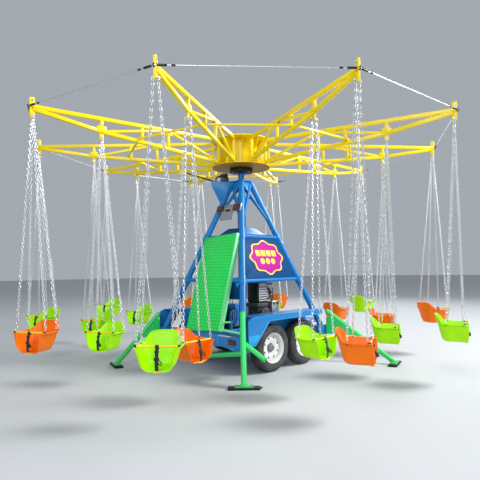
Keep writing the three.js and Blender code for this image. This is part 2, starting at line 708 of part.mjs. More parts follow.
// The triangular bracket over the rear left leg that carries the drive motor
function motorBracket() {
  const start = HEAD_HALF;
  const outline = polygon([
    [start, HEAD_TOP_Z],
    [BRACKET_REACH, HEAD_TOP_Z],
    [BRACKET_REACH, HEAD_TOP_Z - BRACKET_NOSE],
    [BRACKET_TOE[1], BRACKET_FOOT_Z],
    [BRACKET_TOE[0], BRACKET_FOOT_Z],
  ]);
  const cheek = BRACKET_HALF_WIDTH - BRACKET_PLATE / 2;
  const parts = [-1, 1].map((side) =>
    plateXZ(outline, BRACKET_PLATE).translate(0, side * cheek, 0),
  );
  const top = [BRACKET_REACH, BRACKET_HALF_WIDTH, HEAD_TOP_Z];
  parts.push(box([start - BRACKET_LAP, -BRACKET_HALF_WIDTH, HEAD_TOP_Z - HEAD_WALL], top));
  return parts.map((part) => part.rotateZ((3 * Math.PI) / 4));
}

function headBody() {
  const plateBottom = HEAD_TOP_Z - HEAD_WALL;
  const square = (half, bottom, top) => box([-half, -half, bottom], [half, half, top]);
  const outer = square(HEAD_SKIRT_HALF, HEAD_BOTTOM_Z, HEAD_TOP_Z);
  const hollow = square(HEAD_SKIRT_HALF - HEAD_WALL, HEAD_BOTTOM_Z - OVERCUT, plateBottom);
  const bracing = [0, 1, 2, 3].flatMap((k) =>
    faceBracing(k % 2 === 1).map((part) => part.rotateZ((k * Math.PI) / 2)),
  );
  const mastRoom = rod([0, 0, BRACKET_FOOT_Z], [0, 0, MAST_TOP_Z], MAST_NECK_RADIUS + 1, 20);
  const frame = cut(solid(outer), hollow).add(join(...bracing, ...motorBracket()));
  const above = slab(HEAD_TOP_Z, HEAD_TOP_Z + LEG_OVERLENGTH);
  const plate = solid(square(HEAD_HALF, plateBottom, HEAD_TOP_Z));
  return cut(cut(frame, ...legRoom, above).add(plate), mastRoom);
}

function mastGeometry() {
  return turned(
    [
      [0, CHASSIS_TOP_Z + SEAT_GAP],
      [MAST_RADIUS, CHASSIS_TOP_Z + SEAT_GAP],
      [MAST_RADIUS, MAST_NECK_Z],
      [MAST_NECK_RADIUS, MAST_NECK_Z + 40],
      [MAST_NECK_RADIUS, MAST_TOP_Z],
      [0, MAST_TOP_Z],
    ],
    20,
  );
}

function slewingRingGeometry() {
  const top = DISC_BOTTOM_Z - HUB_BOSS_DROP - SEAT_GAP;
  return turned(
    [
      [0, MAST_TOP_Z + SEAT_GAP],
      [MAST_NECK_RADIUS + 60, MAST_TOP_Z + SEAT_GAP],
      [MAST_NECK_RADIUS + 60, RING_BOTTOM_Z],
      [RING_RADIUS, RING_BOTTOM_Z],
      [RING_RADIUS, top],
      [SPIGOT_RADIUS, top],
      [SPIGOT_RADIUS, SPIGOT_TOP_Z],
      [0, SPIGOT_TOP_Z],
    ],
    20,
  );
}

// The drive motor stands on the head's bracket, with a thin arm that reaches out under the rotor
function motorBody() {
  const base = HEAD_TOP_Z + SEAT_GAP;
  const [halfX, halfY] = GEARBOX_HALF;
  const [start, end] = PUMP_ENDS.map((x) => [MOTOR_REACH + x, 0, base + PUMP_Z]);
  const parts = [
    box([MOTOR_REACH - halfX, -halfY, base], [MOTOR_REACH + halfX, halfY, base + GEARBOX_HEIGHT]),
    rod([MOTOR_REACH, 0, base], [MOTOR_REACH, 0, base + MOTOR_HEIGHT], MOTOR_RADIUS, 16),
    rod(start, end, PUMP_RADIUS),
    box(
      [ARM_FOOT.start, -ARM_FOOT.halfWidth, base],
      [ARM_FOOT.end, ARM_FOOT.halfWidth, base + ARM_FOOT.height],
    ),
    rod([ARM_FOOT.end - ARM_RADIUS, 0, base + ARM_RADIUS], [ARM_TIP[0], 0, ARM_TIP[1]], ARM_RADIUS, 8),
  ];
  return join(...parts.map((part) => part.rotateZ((3 * Math.PI) / 4)));
}

// Places a piece drawn upright about the origin onto the right face, leaning with it
function ontoFace(geometry, footZ, outset, quarterTurns) {
  geometry.rotateX(-FACE_LEAN);
  geometry.translate(0, -legHalf(footZ) - outset / Math.cos(FACE_LEAN), footZ);
  return geometry.rotateZ((quarterTurns * Math.PI) / 2);
}

function signBody() {
  const reach = (UPPER_RING_Z - LOWER_RING_Z) / Math.cos(FACE_LEAN);
  const outline = polygon([
    [-legHalf(LOWER_RING_Z), 0],
    [legHalf(LOWER_RING_Z), 0],
    [legHalf(UPPER_RING_Z), reach],
    [-legHalf(UPPER_RING_Z), reach],
  ]);
  const plate = ontoFace(plateXZ(outline, SIGN_THICKNESS), LOWER_RING_Z, SIGN_OUTSET, 0);
  const railRoom = [LOWER_RING_Z, UPPER_RING_Z].flatMap((z) => [
    rod(legPoint(CORNERS[0], z), legPoint(CORNERS[1], z), RAIL_RADIUS + SEAT_GAP, RAIL_SIDES),
    ...CORNERS.slice(0, 2).map((corner) => collar(corner, z, 2 * SEAT_GAP)),
  ]);
  const pieces = cut(solid(plate), ...railRoom, ...legRoom).decompose();
  return pieces.sort((a, b) => b.volume() - a.volume())[0];
}

// A low hipped cover on the upper rails, open round the mast
function hoodBody() {
  const base = UPPER_RING_Z + RAIL_RADIUS + SEAT_GAP;
  const hoodTop = base + HOOD_PLATE_THICKNESS + HOOD_HEIGHT;
  const hip = new THREE.CylinderGeometry(
    HOOD_TOP_HALF * Math.SQRT2,
    HOOD_BASE_HALF * Math.SQRT2,
    HOOD_HEIGHT,
    4,
  );
  hip.rotateX(Math.PI / 2).rotateZ(Math.PI / 4);
  hip.translate(0, 0, hoodTop - HOOD_HEIGHT / 2 - 1);
  const plate = box(
    [-HOOD_PLATE_HALF, -HOOD_PLATE_HALF, base],
    [HOOD_PLATE_HALF, HOOD_PLATE_HALF, base + HOOD_PLATE_THICKNESS],
  );
  const mastRoom = rod([0, 0, base - OVERCUT], [0, 0, hoodTop + OVERCUT], MAST_RADIUS + 1, 20);
  const collarRoom = CORNERS.map((corner) => collar(corner, UPPER_RING_Z, 2 * SEAT_GAP));
  return cut(join(hip, plate), mastRoom, ...collarRoom, ...legRoom);
}

// The boarding ramp, stowed upright against the rear face: a tray with its open side inward
function rampBody() {
  const half = RAMP_WIDTH / 2;
  const whole = box([-half, -RAMP_DEPTH, 0], [half, 0, RAMP_LENGTH]);
  const hollow = box(
    [RAMP_WALL - half, RAMP_WALL - RAMP_DEPTH, RAMP_WALL],
    [half - RAMP_WALL, OVERCUT, RAMP_LENGTH - RAMP_WALL],
  );
  const railCorner = RAIL_RADIUS * Math.cos(FACE_LEAN); // how far a rail stands out of the face
  const onto = (piece) =>
    ontoFace(
      piece.rotateY(-THREE.MathUtils.degToRad(RAMP_TILT)).translate(-RAMP_CENTRE_Y, 0, 0),
      RAMP_FOOT_Z,
      railCorner + SEAT_GAP,
      -1,
    );
  const collarRoom = CORNERS.map((corner) => collar(corner, UPPER_RING_Z, SEAT_GAP));
  return cut(solid(onto(whole)), onto(hollow), ...legRoom, ...collarRoom);
}

// A sheet that hangs under the lower rail of the rear face
function rearPanelBody() {
  const half = REAR_PANEL.thickness / 2;
  const middle = -legHalf(LOWER_RING_Z);
  const sheet = box(
    [middle - half, REAR_PANEL.y[0], REAR_PANEL.bottomZ],
    [middle + half, REAR_PANEL.y[1], LOWER_RING_Z - OVERCUT],
  );
  const ends = [CORNERS[3], CORNERS[0]].map((corner) => legPoint(corner, LOWER_RING_Z));
  return cut(solid(sheet), rod(...ends, RAIL_RADIUS + SEAT_GAP, RAIL_SIDES));
}

function lightBarBody() {
  const half = LIGHT_BAR_WIDTH / 2;
  const rise = LIGHT_BAR_HEIGHT / 2;
  const board = box([-half, -LIGHT_BAR_THICKNESS, -rise], [half, 0, rise]);
  const wide = PLATE_BRACKET_WIDTH / 2;
  const drop = box(
    [-wide, -LIGHT_BAR_THICKNESS, -rise - PLATE_BRACKET_DROP],
    [wide, PLATE_BRACKET_THICKNESS - LIGHT_BAR_THICKNESS, -rise + 5],
  );
  const parts = [board, drop].map((part) =>
    ontoFace(
      part.translate(-LIGHT_BAR_Y, 0, 0),
      LIGHT_BAR_Z,
      LEG_RADIUS + SEAT_GAP,
      -1,
    ),
  );
  return join(...parts);
}

// Trailer frame with its deck, end beams, corner blocks, drawbar and stub axles
const cornerBlock = ({ x, y }, room = 0) => {
  const xs = [x * CORNER_INNER, x * CHASSIS_HALF_X].sort((a, b) => a - b);
  const ys = [y * CORNER_INNER, y * CORNER_HALF_Y].sort((a, b) => a - b);
  return box(
    [xs[0] - room, ys[0] - room, CORNER_BOTTOM_Z - room],
    [xs[1] + room, ys[1] + room, CHASSIS_TOP_Z + room],
  );
};

function stubAxle(x, side) {
  const inner = side * (CHASSIS_HALF_Y - CHANNEL_WIDTH);
  const outer = side * CHASSIS_HALF_Y;
  const hanger = box(
    [x - 50, Math.min(inner, outer), WHEEL_Z - 50],
    [x + 50, Math.max(inner, outer), CHASSIS_TOP_Z - CHANNEL_HEIGHT + 5],
  );
  const spindle = rod([x, inner, WHEEL_Z], [x, side * AXLE_END_Y, WHEEL_Z], AXLE_RADIUS, 16);
  return [hanger, spindle];
}

function chassisBody() {
  const low = CHASSIS_TOP_Z - CHANNEL_HEIGHT;
  const X = CHASSIS_HALF_X;
  const Y = CHASSIS_HALF_Y;
  const whole = box([-X, -Y, low], [X, Y, CHASSIS_TOP_Z]);
  const side = END_BEAM_INNER_X;
  const wide = Y - CHANNEL_WIDTH;
  const bays = [
    [-side, -CROSS_MEMBER_X - CHANNEL_WIDTH / 2],
    [CHANNEL_WIDTH / 2 - CROSS_MEMBER_X, CROSS_MEMBER_X - CHANNEL_WIDTH / 2],
    [CROSS_MEMBER_X + CHANNEL_WIDTH / 2, side],
  ].map(([x0, x1]) => box([x0, -wide, low - OVERCUT], [x1, wide, CHASSIS_TOP_Z - DECK_THICKNESS]));
  const drawbar = [-1, 1].map((hand) => {
    const start = new THREE.Vector2(X - CHANNEL_WIDTH / 2, hand * DRAWBAR_SPREAD);
    const run = new THREE.Vector2(DRAWBAR_END_X, 0).sub(start);
    const beam = new THREE.BoxGeometry(run.length(), DRAWBAR_SIZE, DRAWBAR_SIZE);
    beam.translate(run.length() / 2, 0, 0).rotateZ(run.angle());
    return beam.translate(start.x, start.y, DRAWBAR_Z);
  });
  const coupler = box(
    [DRAWBAR_END_X - 60, -45, DRAWBAR_Z - 50],
    [DRAWBAR_END_X + 110, 45, DRAWBAR_Z + 50],
  );
  const axles = WHEEL_X.flatMap((x) => [-1, 1].flatMap((hand) => stubAxle(x, hand)));
  const blocks = CORNERS.map((corner) => cornerBlock(corner));
  const endBeams = [
    [-X, -END_BEAM_INNER_X],
    [END_BEAM_INNER_X, X],
  ].map(([x0, x1]) =>
    box([x0, -CORNER_HALF_Y, END_BEAM_BOTTOM_Z], [x1, CORNER_HALF_Y, CHASSIS_TOP_Z]),
  );
  const added = join(...blocks, ...endBeams, ...drawbar, coupler, ...axles);
  return cut(solid(whole), ...bays).add(added);
}

function wheelGeometry() {
  const half = WHEEL_WIDTH / 2;
  const bore = AXLE_RADIUS + 1;
  const profile = [
    [bore, -70],
    [RIM_RADIUS, -70],
    [RIM_RADIUS + 20, -half],
    [WHEEL_RADIUS - 25, -half + 6],
    [WHEEL_RADIUS, -half + 38],
    [WHEEL_RADIUS, half - 38],
    [WHEEL_RADIUS - 25, half - 6],
    [RIM_RADIUS + 20, half],
    [RIM_RADIUS, 20],
    [HUB_RADIUS, 20],
    [HUB_RADIUS, 65],
    [bore, 65],
    [bore, -70],
  ];
  return turned(profile, 16);
}

function mudguardBody(hand) {
  const piece = (x0, x1, y0, y1, z0, z1) => {
    const [near, far] = [hand * y0, hand * y1].sort((p, q) => p - q);
    return box([x0, near, z0], [x1, far, z1]);
  };
  const inner = CHASSIS_HALF_Y + SEAT_GAP;
  const outer = GUARD_OUTER_Y;
  const top = GUARD_TOP_Z;
  const under = top - GUARD_SHEET;
  const wall = GUARD_WALL_HALF_X;
  const chamferX = GUARD_REAR_X + GUARD_CHAMFER[0];
  const side = plateXZ(
    polygon([
      [GUARD_REAR_X, SKIRT_BOTTOM_Z],
      [SKIRT_FRONT_X, SKIRT_BOTTOM_Z],
      [SKIRT_KNEE_X, top - GUARD_BAND],
      [GUARD_FRONT_X, top - GUARD_BAND],
      [GUARD_FRONT_X, top],
      [chamferX, top],
      [GUARD_REAR_X, top - GUARD_CHAMFER[1]],
    ]),
    GUARD_SHEET,
  ).translate(0, hand * (outer - GUARD_SHEET / 2), 0);
  return join(
    piece(-wall, wall, inner, outer, under, top),
    piece(chamferX, GUARD_FRONT_X, GUARD_END_INNER_Y, outer, under, top),
    piece(-wall, wall, inner, inner + GUARD_SHEET, CHASSIS_TOP_Z - CHANNEL_HEIGHT + 10, top),
    side,
  );
}

// An outrigger: a raked strut from a flat foot on a plank, with a bracket against the chassis corner
function outriggerBody({ name, foot, topZ }) {
  const corner = CORNERS.find((c) => c.name === name);
  const root = new THREE.Vector2(corner.x * CHASSIS_HALF_X, corner.y * CORNER_HALF_Y);
  const run = new THREE.Vector2(...foot).sub(root);
  const length = run.length();
  const footZ = PAD_THICKNESS + FLANGE_THICKNESS;
  const along = (z) => (length * (topZ - z)) / (topZ - footZ);
  const plank = ([long, wide], bottom, top) =>
    box([length - long / 2, -wide / 2, bottom], [length + long / 2, wide / 2, top]);
  const bracket = plateXZ(
    polygon([
      [-30, BRACKET_BOTTOM_Z],
      [along(BRACKET_BOTTOM_Z), BRACKET_BOTTOM_Z],
      [along(BRACKET_TOP_Z), BRACKET_TOP_Z],
      [5, BRACKET_TOP_Z],
      [5, CHASSIS_TOP_Z - 15],
      [-30, CHASSIS_TOP_Z - 15],
    ]),
    2 * OUTRIGGER_BRACKET_HALF,
  );
  const parts = [
    rod([0, 0, topZ], [length, 0, footZ - 10], STRUT_RADIUS, 10),
    bracket,
    plank(PAD_SIZE, 0, PAD_THICKNESS),
    plank(FLANGE_SIZE, PAD_THICKNESS - 1, footZ),
  ].map((part) => part.rotateZ(run.angle()).translate(root.x, root.y, 0));
  if (name === "rear_right") {
    parts.push(...FOLDED_STRUTS.map(({ from, to }) => rod(from, to, STUB_RADIUS, 8)));
  }
  return cut(join(...parts), cornerBlock(corner, SEAT_GAP), slab(-2 * STRUT_RADIUS, 0));
}

// Engine, tank, battery case, reservoir and valve stand under the sign
function powerUnitBody() {
  const base = CHASSIS_TOP_Z + SEAT_GAP;
  const parts = POWER_UNIT.map(({ x, y, under = 0, top }) =>
    box([x[0], y[0], base + under], [x[1], y[1], base + top]),
  );
  return join(...parts);
}

const ride = new THREE.Group();
const degrees = THREE.MathUtils.degToRad;

ride.add(named("chassis", chassisBody(), BLUE));
ride.add(named("mast", mastGeometry(), BLUE));
ride.add(named("slewing_ring", slewingRingGeometry(), BLACK));
ride.add(named("tower_head", headBody(), BLUE));
ride.add(named("drive_motor", motorBody(), BLACK));
for (const corner of CORNERS) {
  ride.add(named(`leg_${corner.name}`, legBody(corner), BLUE));
}
ride.add(named("lower_rails", railRing(LOWER_RING_Z), BLUE));
ride.add(named("upper_rails", railRing(UPPER_RING_Z), BLUE));
ride.add(named("sign_panel", signBody(), DARK_BLUE));
ride.add(named("hood", hoodBody(), BLUE));
ride.add(named("rear_panel", rearPanelBody(), DARK_BLUE));
ride.add(named("boarding_ramp", rampBody(), GREEN));
ride.add(named("light_bar", lightBarBody(), GREY));
ride.add(named("power_unit", powerUnitBody(), BLACK));
for (const [name, hand] of [
  ["right", -1],
  ["left", 1],
]) {
  ride.add(named(`mudguard_${name}`, mudguardBody(hand), BLUE));
}
for (const outrigger of OUTRIGGERS) {
  ride.add(named(`outrigger_${outrigger.name}`, outriggerBody(outrigger), GREEN));
}

const wheel = wheelGeometry();
for (const [end, x] of [
  ["rear", WHEEL_X[0]],
  ["front", WHEEL_X[1]],
]) {
  for (const [side, hand] of [
    ["right", -1],
    ["left", 1],
  ]) {
    const mesh = named(`wheel_${end}_${side}`, wheel, TYRE);
    mesh.rotation.x = (-hand * Math.PI) / 2;
    mesh.position.set(x, hand * WHEEL_CENTRE_Y, WHEEL_Z);
    ride.add(mesh);
  }
}

const rotor = new THREE.Group();
rotor.rotation.z = degrees(FIRST_ARM_AZIMUTH);
rotor.add(named("hub", hubGeometry(), YELLOW));
rotor.add(named("tie_ring", tieRingGeometry(), YELLOW));
rotor.add(named("perimeter_cable", cableGeometry(), STEEL));

const arm = geometryOf(armBody());
const bucket = bucketGeometry();
SEATS.forEach(({ outer, inner }, k) => {
  const bay = new THREE.Group();
  bay.rotation.z = (k * 2 * Math.PI) / ARM_COUNT;
  bay.add(named(`arm_${k}`, arm, YELLOW));
  const outside = { radius: TIP_RADIUS, pinZ: OUTER_PIN_Z, seatZ: OUTER_SEAT_Z, turn: outer.turn };
  const inside = { radius: MID_RADIUS, pinZ: INNER_PIN_Z, seatZ: INNER_SEAT_Z, turn: inner.turn };
  bay.add(named(`outer_seat_${k}`, seatBody(bucket, outside), PLASTIC[outer.plastic]));
  bay.add(named(`inner_seat_${k}`, seatBody(bucket, inside), PLASTIC[inner.plastic]));
  rotor.add(bay);
});
ride.add(rotor);

export default ride;
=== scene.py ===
"""Dresses the frame of a trailer-mounted children's chair swing ride.

Metres, +Z up, in the frame's own place: +X is the trailer's towing end and +Y its left side.
Each operator makes one piece or group of like pieces; main() runs them in order.
"""

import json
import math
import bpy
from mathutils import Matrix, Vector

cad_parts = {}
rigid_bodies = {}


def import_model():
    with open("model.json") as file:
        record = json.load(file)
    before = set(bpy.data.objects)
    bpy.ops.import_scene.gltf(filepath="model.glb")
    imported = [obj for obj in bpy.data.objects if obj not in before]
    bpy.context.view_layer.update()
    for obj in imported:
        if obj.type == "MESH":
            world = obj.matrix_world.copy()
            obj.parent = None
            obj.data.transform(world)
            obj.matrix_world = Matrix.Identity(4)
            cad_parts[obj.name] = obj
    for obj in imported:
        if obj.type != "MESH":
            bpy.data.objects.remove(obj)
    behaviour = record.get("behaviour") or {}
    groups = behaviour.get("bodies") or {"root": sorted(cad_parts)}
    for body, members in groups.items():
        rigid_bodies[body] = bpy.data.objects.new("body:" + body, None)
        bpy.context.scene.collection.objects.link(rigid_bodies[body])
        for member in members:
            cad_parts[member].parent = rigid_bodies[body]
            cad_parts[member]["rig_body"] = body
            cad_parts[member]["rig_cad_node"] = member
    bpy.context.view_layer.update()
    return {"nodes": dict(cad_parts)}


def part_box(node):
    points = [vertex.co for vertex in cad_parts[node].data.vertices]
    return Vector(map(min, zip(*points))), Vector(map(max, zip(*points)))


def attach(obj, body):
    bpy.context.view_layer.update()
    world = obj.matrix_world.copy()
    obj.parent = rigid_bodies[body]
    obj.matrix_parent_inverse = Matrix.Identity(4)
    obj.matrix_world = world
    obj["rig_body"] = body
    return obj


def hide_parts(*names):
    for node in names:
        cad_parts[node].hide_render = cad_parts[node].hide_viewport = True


bl_info = {
    "name": "Chair Swing Ride",
    "version": (1, 0, 0),
    "blender": (4, 5, 0),
    "location": "View3D > Sidebar > Swing Ride",
    "description": "Paint, chains, bucket seats and fittings for a chair swing ride's frame",
    "category": "Object",
}

from contextlib import contextmanager

import bmesh
import bpy
from mathutils import Matrix, Vector

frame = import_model()

GAP = 0.0003  # what touching solids of the frame keep between them

# Rotor: radii from its axis, heights from the ground
ARM_COUNT = 10
FIRST_ARM = math.radians(210.3)
ARM_STEP = math.radians(36)
TIP_RADIUS = 3.240  # of the outer seats' pins
MID_RADIUS = 2.380  # of the inner seats' pins
TIE_CORNER = 1.833  # where the tie bars cross the arms
MIDDLE_POST = 1.790
INNER_POST = 1.370
ROOT = 0.455  # of the posts that join the arms to the hub's plates
TOP_CHORD_Z = (3.562, 3.512)  # at the root, at the tip
BOTTOM_CHORD_Z = (3.214, 3.360)  # at the root, at the inner seats' pins
TIP_FOOT_Z = 3.488
OUTER_PIN_Z = 3.408
INNER_PIN_Z = 3.280
TIP_POST_TOP = 3.620
STAY_RADIUS = 3.281
STAY_Z = 3.512
DISC_Z = 3.170
DISC_TOP = 3.184
DRUM_RADIUS = 0.280
TOP_PLATE_Z = 3.592
TOP_PLATE_TOP = 3.606

# Seats: turn in degrees from straight outward and plastic, outer then inner, arm by arm
SEATS = [
    ((12, "lime"), (63, "orange")),
    ((48, "orange"), (24, "lime")),
    ((6, "lime"), (10, "lime")),
    ((20, "orange"), (-30, "orange")),
    ((6, "lime"), (8, "orange")),
    ((15, "orange"), (20, "lime")),
    ((10, "orange"), (0, "lime")),
    ((100, "lime"), (90, "lime")),
    ((60, "lime"), (60, "lime")),
    ((33, "orange"), (30, "lime")),
]
OUTER_SEAT_Z = 0.567
INNER_SEAT_Z = 0.477
EAR_Z = 0.225
LAP_BAR = (0.118, 0.235)  # forward and up from the bucket's underside
LAP_BAR_REACH = 0.222
CHAIN_OFFSET = 0.027  # from the arm's middle to a chain's top
CHAIN_SIDE = 0.214  # from the bucket's middle to a chain's foot
CHAIN_X = (0.098, -0.100)  # the front and the back chain's foot
CHAIN_LENGTH = 2.58  # of the chain that is drawn once and then fitted to each place

# A bucket's floor and the rings of its walls: height, front, back and half width
BUCKET_FLOOR = (0.0, 0.120, -0.120, 0.105)
BUCKET_RINGS = (
    (0.012, 0.137, -0.142, 0.128),
    (0.044, 0.153, -0.161, 0.151),
    (0.102, 0.155, -0.173, 0.167),
    (0.162, 0.149, -0.188, 0.186),
    (EAR_Z, 0.143, -0.204, 0.204),
)
# Steps that arch the back's top edge: from x, to x, half width and rise
BACK_STEPS = (
    (-0.300, -0.180, 0.10, 0.118),
    (-0.300, -0.170, 0.15, 0.106),
    (-0.168, -0.150, 0.20, 0.070),
    (-0.149, -0.120, 0.30, 0.010),
)
BACK_RAKE = 0.28  # backwards for each metre up

# Tower
LEG_FOOT_Z = 0.5
LEG_RISE = 2.4
LEG_FOOT_HALF = 0.930  # half the side of the square of the legs' axes at LEG_FOOT_Z
LEG_HEAD_HALF = 0.114
LEG_RADIUS = 0.046
LEG_PLATE = (0.845, 0.972)  # from the middle to a foot plate's inner and outer edge
RAIL_RADIUS = 0.030
LOWER_RING = 1.340
UPPER_RING = 2.020
HEAD_HALF = 0.152
HEAD_SKIRT_HALF = 0.122
HEAD_TOP = 2.950
HEAD_BOTTOM = 2.865
BRACKET_END = 0.490  # of the drive's bracket, from the rotor's axis
MAST_RADIUS = 0.070
MAST_FOOT_Z = 1.020
MAST_TOP = 3.080
DECK_Z = 0.560
CORNERS = {
    "rear_right": (-1, -1),
    "front_right": (1, -1),
    "front_left": (1, 1),
    "rear_left": (-1, 1),
}
FACE_LEAN = math.atan2(LEG_FOOT_HALF - LEG_HEAD_HALF, LEG_RISE)
LIGHT_BAR_Z = 2.477
SIGN_MIDDLE = 0.372  # up the sign's face from the lower rails
SIGN_OUTSET = 0.017  # from the plane of the rails' axes to the sign's face

# The stowed ramp, as it lies on the rear face
RAMP_WIDTH = 0.745
RAMP_LENGTH = 1.520
RAMP_DEPTH = 0.070
RAMP_CENTRE_Y = -0.135
RAMP_TILT = math.radians(3.8)
RAMP_FOOT_Z = 0.586

# Trailer
DECK_HALF = (0.845, 0.745)
WHEEL_Z = 0.353
WHEEL_Y = 0.875
WHEEL_X = {"rear": -0.330, "front": 0.415}
OUTRIGGERS = {
    "rear_right": ((-1.300, -1.300), 0.930),
    "rear_left": ((-1.665, 1.192), 0.800),
    "front_right": ((1.295, -2.024), 0.800),
    "front_left": ((1.295, 2.024), 0.800),
}
# Two tubes folded away beside the rear right outrigger, each from end to end
FOLDED_RADIUS = 0.033
FOLDED_STRUTS = (
    ((-1.085, -1.100, 0.530), (-1.000, -1.400, 0.335)),
    ((-1.120, -1.100, 0.400), (-0.985, -0.200, 0.235)),
)
FOOT_TOP = 0.042  # of the flat feet that stand on the planks
GUARD_OUTER = 1.040  # from the middle to a mudguard's outer face
WEB_TOP = 0.418  # of the curved webs under the end beams
SIDES = (("right", -1), ("left", 1))
MIRROR_Y = Matrix.Diagonal((1, -1, 1, 1))

# Drive: its bracket points diagonally, and the motor stands on it
DIAGONAL = math.radians(135)
MOTOR_REACH = 0.275

# Soft lights: name, place, size in metres and power in watts
LIGHTS = (
    ("key", (6.5, -9.0, 9.0), 3.6, 2000.0),
    ("fill", (-10.0, -6.0, 7.0), 7.0, 700.0),
    ("rim", (11.0, 5.0, 8.0), 6.0, 600.0),
)

# The camera at the photograph's angle, with its lens and shift in the photograph's pixels
IMAGE_WIDTH = 480
CAMERA_PLACE = (-5.445, -5.445, 1.565)
CAMERA_PAN = -math.pi / 4 - 0.0052
CAMERA_TILT = math.pi / 2 - 0.0185
CAMERA_ROLL = -0.0127
LENS_PIXELS = 465
SHIFT_PIXELS = (-5, 34.3)
SENSOR_WIDTH = 36


def leg_half(z):
    """Half the side of the square of the legs' axes at a height."""
    return LEG_FOOT_HALF + (z - LEG_FOOT_Z) / LEG_RISE * (LEG_HEAD_HALF - LEG_FOOT_HALF)


def leg_point(corner, z):
    """The point of a leg's axis at a height."""
    x, y = CORNERS[corner]
    return Vector((x * leg_half(z), y * leg_half(z), z))


def chord_height(radius, outer, heights):
    """The height of a straight chord that runs from the root to an outer radius."""
    return heights[0] + (radius - ROOT) / (outer - ROOT) * (heights[1] - heights[0])


def top_chord(radius):
    """The point of an arm's top chord at a radius."""
    return (radius, 0, chord_height(radius, TIP_RADIUS, TOP_CHORD_Z))


def bottom_chord(radius):
    """The point of an arm's bottom chord at a radius."""
    return (radius, 0, chord_height(radius, MID_RADIUS, BOTTOM_CHORD_Z))


def linear(hex_colour):
    """The linear colour of an sRGB hex value."""
    channels = [int(hex_colour[i : i + 2], 16) / 255 for i in (1, 3, 5)]
    return tuple(c / 12.92 if c <= 0.04045 else ((c + 0.055) / 1.055) ** 2.4 for c in channels)


# Materials


def add_node(tree, kind, settings=(), links=()):
    """Adds a node: settings are its properties or input values, links its inputs' sources."""
    node = tree.nodes.new(kind)
    for key, value in dict(settings).items():
        if isinstance(key, int) or key in node.inputs:
            node.inputs[key].default_value = value
        else:
            setattr(node, key, value)
    for key, source in dict(links).items():
        tree.links.new(source, node.inputs[key])
    return node


def new_material(name, roughness, metallic=0.0, **sockets):
    """An empty node material and its shader, with the constants on the shader's own sockets."""
    material = bpy.data.materials.new(name)
    material.use_nodes = True
    tree = material.node_tree
    tree.nodes.clear()
    settings = {"Roughness": roughness, "Metallic": metallic}
    settings.update({key.replace("_", " "): value for key, value in sockets.items()})
    shader = add_node(tree, "ShaderNodeBsdfPrincipled", settings)
    add_node(tree, "ShaderNodeOutputMaterial", links={"Surface": shader.outputs[0]})
    return material, tree, shader


def object_place(tree):
    """The place on the piece, in metres."""
    return add_node(tree, "ShaderNodeTexCoord").outputs["Object"]


def noise(tree, place, scale, detail=4.0, stretch=(1, 1, 1)):
    """A cloudy pattern over the piece, with about scale clouds to the metre."""
    mapped = add_node(tree, "ShaderNodeMapping", {"Scale": stretch}, {"Vector": place})
    return add_node(
        tree,
        "ShaderNodeTexNoise",
        {"Scale": scale, "Detail": detail},
        {"Vector": mapped.outputs[0]},
    ).outputs[0]


def between(tree, value, low, high, out_low=0.0, out_high=1.0):
    """Where a value lies between two limits, as a number between two others."""
    return add_node(
        tree,
        "ShaderNodeMapRange",
        {"From Min": low, "From Max": high, "To Min": out_low, "To Max": out_high},
        {"Value": value},
    ).outputs[0]


def maths(tree, operation, first, second=0.0):
    """One step of arithmetic on sockets or numbers."""
    settings, links = {"operation": operation}, {}
    for key, value in enumerate((first, second)):
        (links if isinstance(value, bpy.types.NodeSocket) else settings)[key] = value
    return add_node(tree, "ShaderNodeMath", settings, links).outputs[0]


def mix(tree, factor, first, second):
    """Mixes two colours; each is a socket or an RGB value."""
    settings, links = {}, {0: factor}
    # The node's inputs 6 and 7 and its output 2 are the ones that carry colours
    for key, colour in ((6, first), (7, second)):
        if isinstance(colour, bpy.types.NodeSocket):
            links[key] = colour
        else:
            settings[key] = (*colour, 1.0)
    node = add_node(tree, "ShaderNodeMix", {"data_type": "RGBA", **settings}, links)
    return node.outputs[2]


def bump(tree, shader, height, strength, distance):
    """Raises a pattern on the surface; distance is its height in metres."""
    node = add_node(
        tree,
        "ShaderNodeBump",
        {"Strength": strength, "Distance": distance},
        {"Height": height},
    )
    tree.links.new(node.outputs[0], shader.inputs["Normal"])


def darker(colour, share):
    """A colour brought down to a share of its brightness."""
    return tuple(c * share for c in colour)


def enamel(name, colour, dust=0.0, roughness=0.34, coat=0.22, gloss=0.35):
    """Sprayed gloss enamel on welded steel: a clear gloss with orange peel, faded in patches.

    Real orange peel is 1 to 2 mm wide; here it is 6 mm, so that it shows. Chips of 3 to 8 mm
    bare the grey primer. dust is how strongly road dust greys the paint towards the ground.
    coat is the weight of the clear top coat and gloss that of the paint under it; both are low
    on flat sheet.
    """
    material, tree, shader = new_material(
        name, roughness, IOR=1.5, Specular_IOR_Level=gloss, Coat_Weight=coat, Coat_Roughness=0.1
    )
    place = object_place(tree)
    faded = between(tree, noise(tree, place, 1.3), 0.35, 0.7)
    paint = mix(tree, faded, darker(colour, 0.86), colour)
    chips = between(tree, noise(tree, place, 38.0, 6.0), 0.71, 0.73)
    paint = mix(tree, chips, paint, linear("#8d9296"))
    if dust:
        height = add_node(tree, "ShaderNodeSeparateXYZ", links={0: place}).outputs[2]
        low = between(tree, height, 0.05, 1.0, dust, 0.0)
        patchy = between(tree, noise(tree, place, 7.0, 6.0), 0.3, 0.75)
        amount = maths(tree, "MULTIPLY", low, patchy)
        paint = mix(tree, amount, paint, linear("#a39a8c"))
    tree.links.new(paint, shader.inputs["Base Color"])
    bump(tree, shader, noise(tree, place, 160.0, 2.0), 0.06, 0.001)
    return material


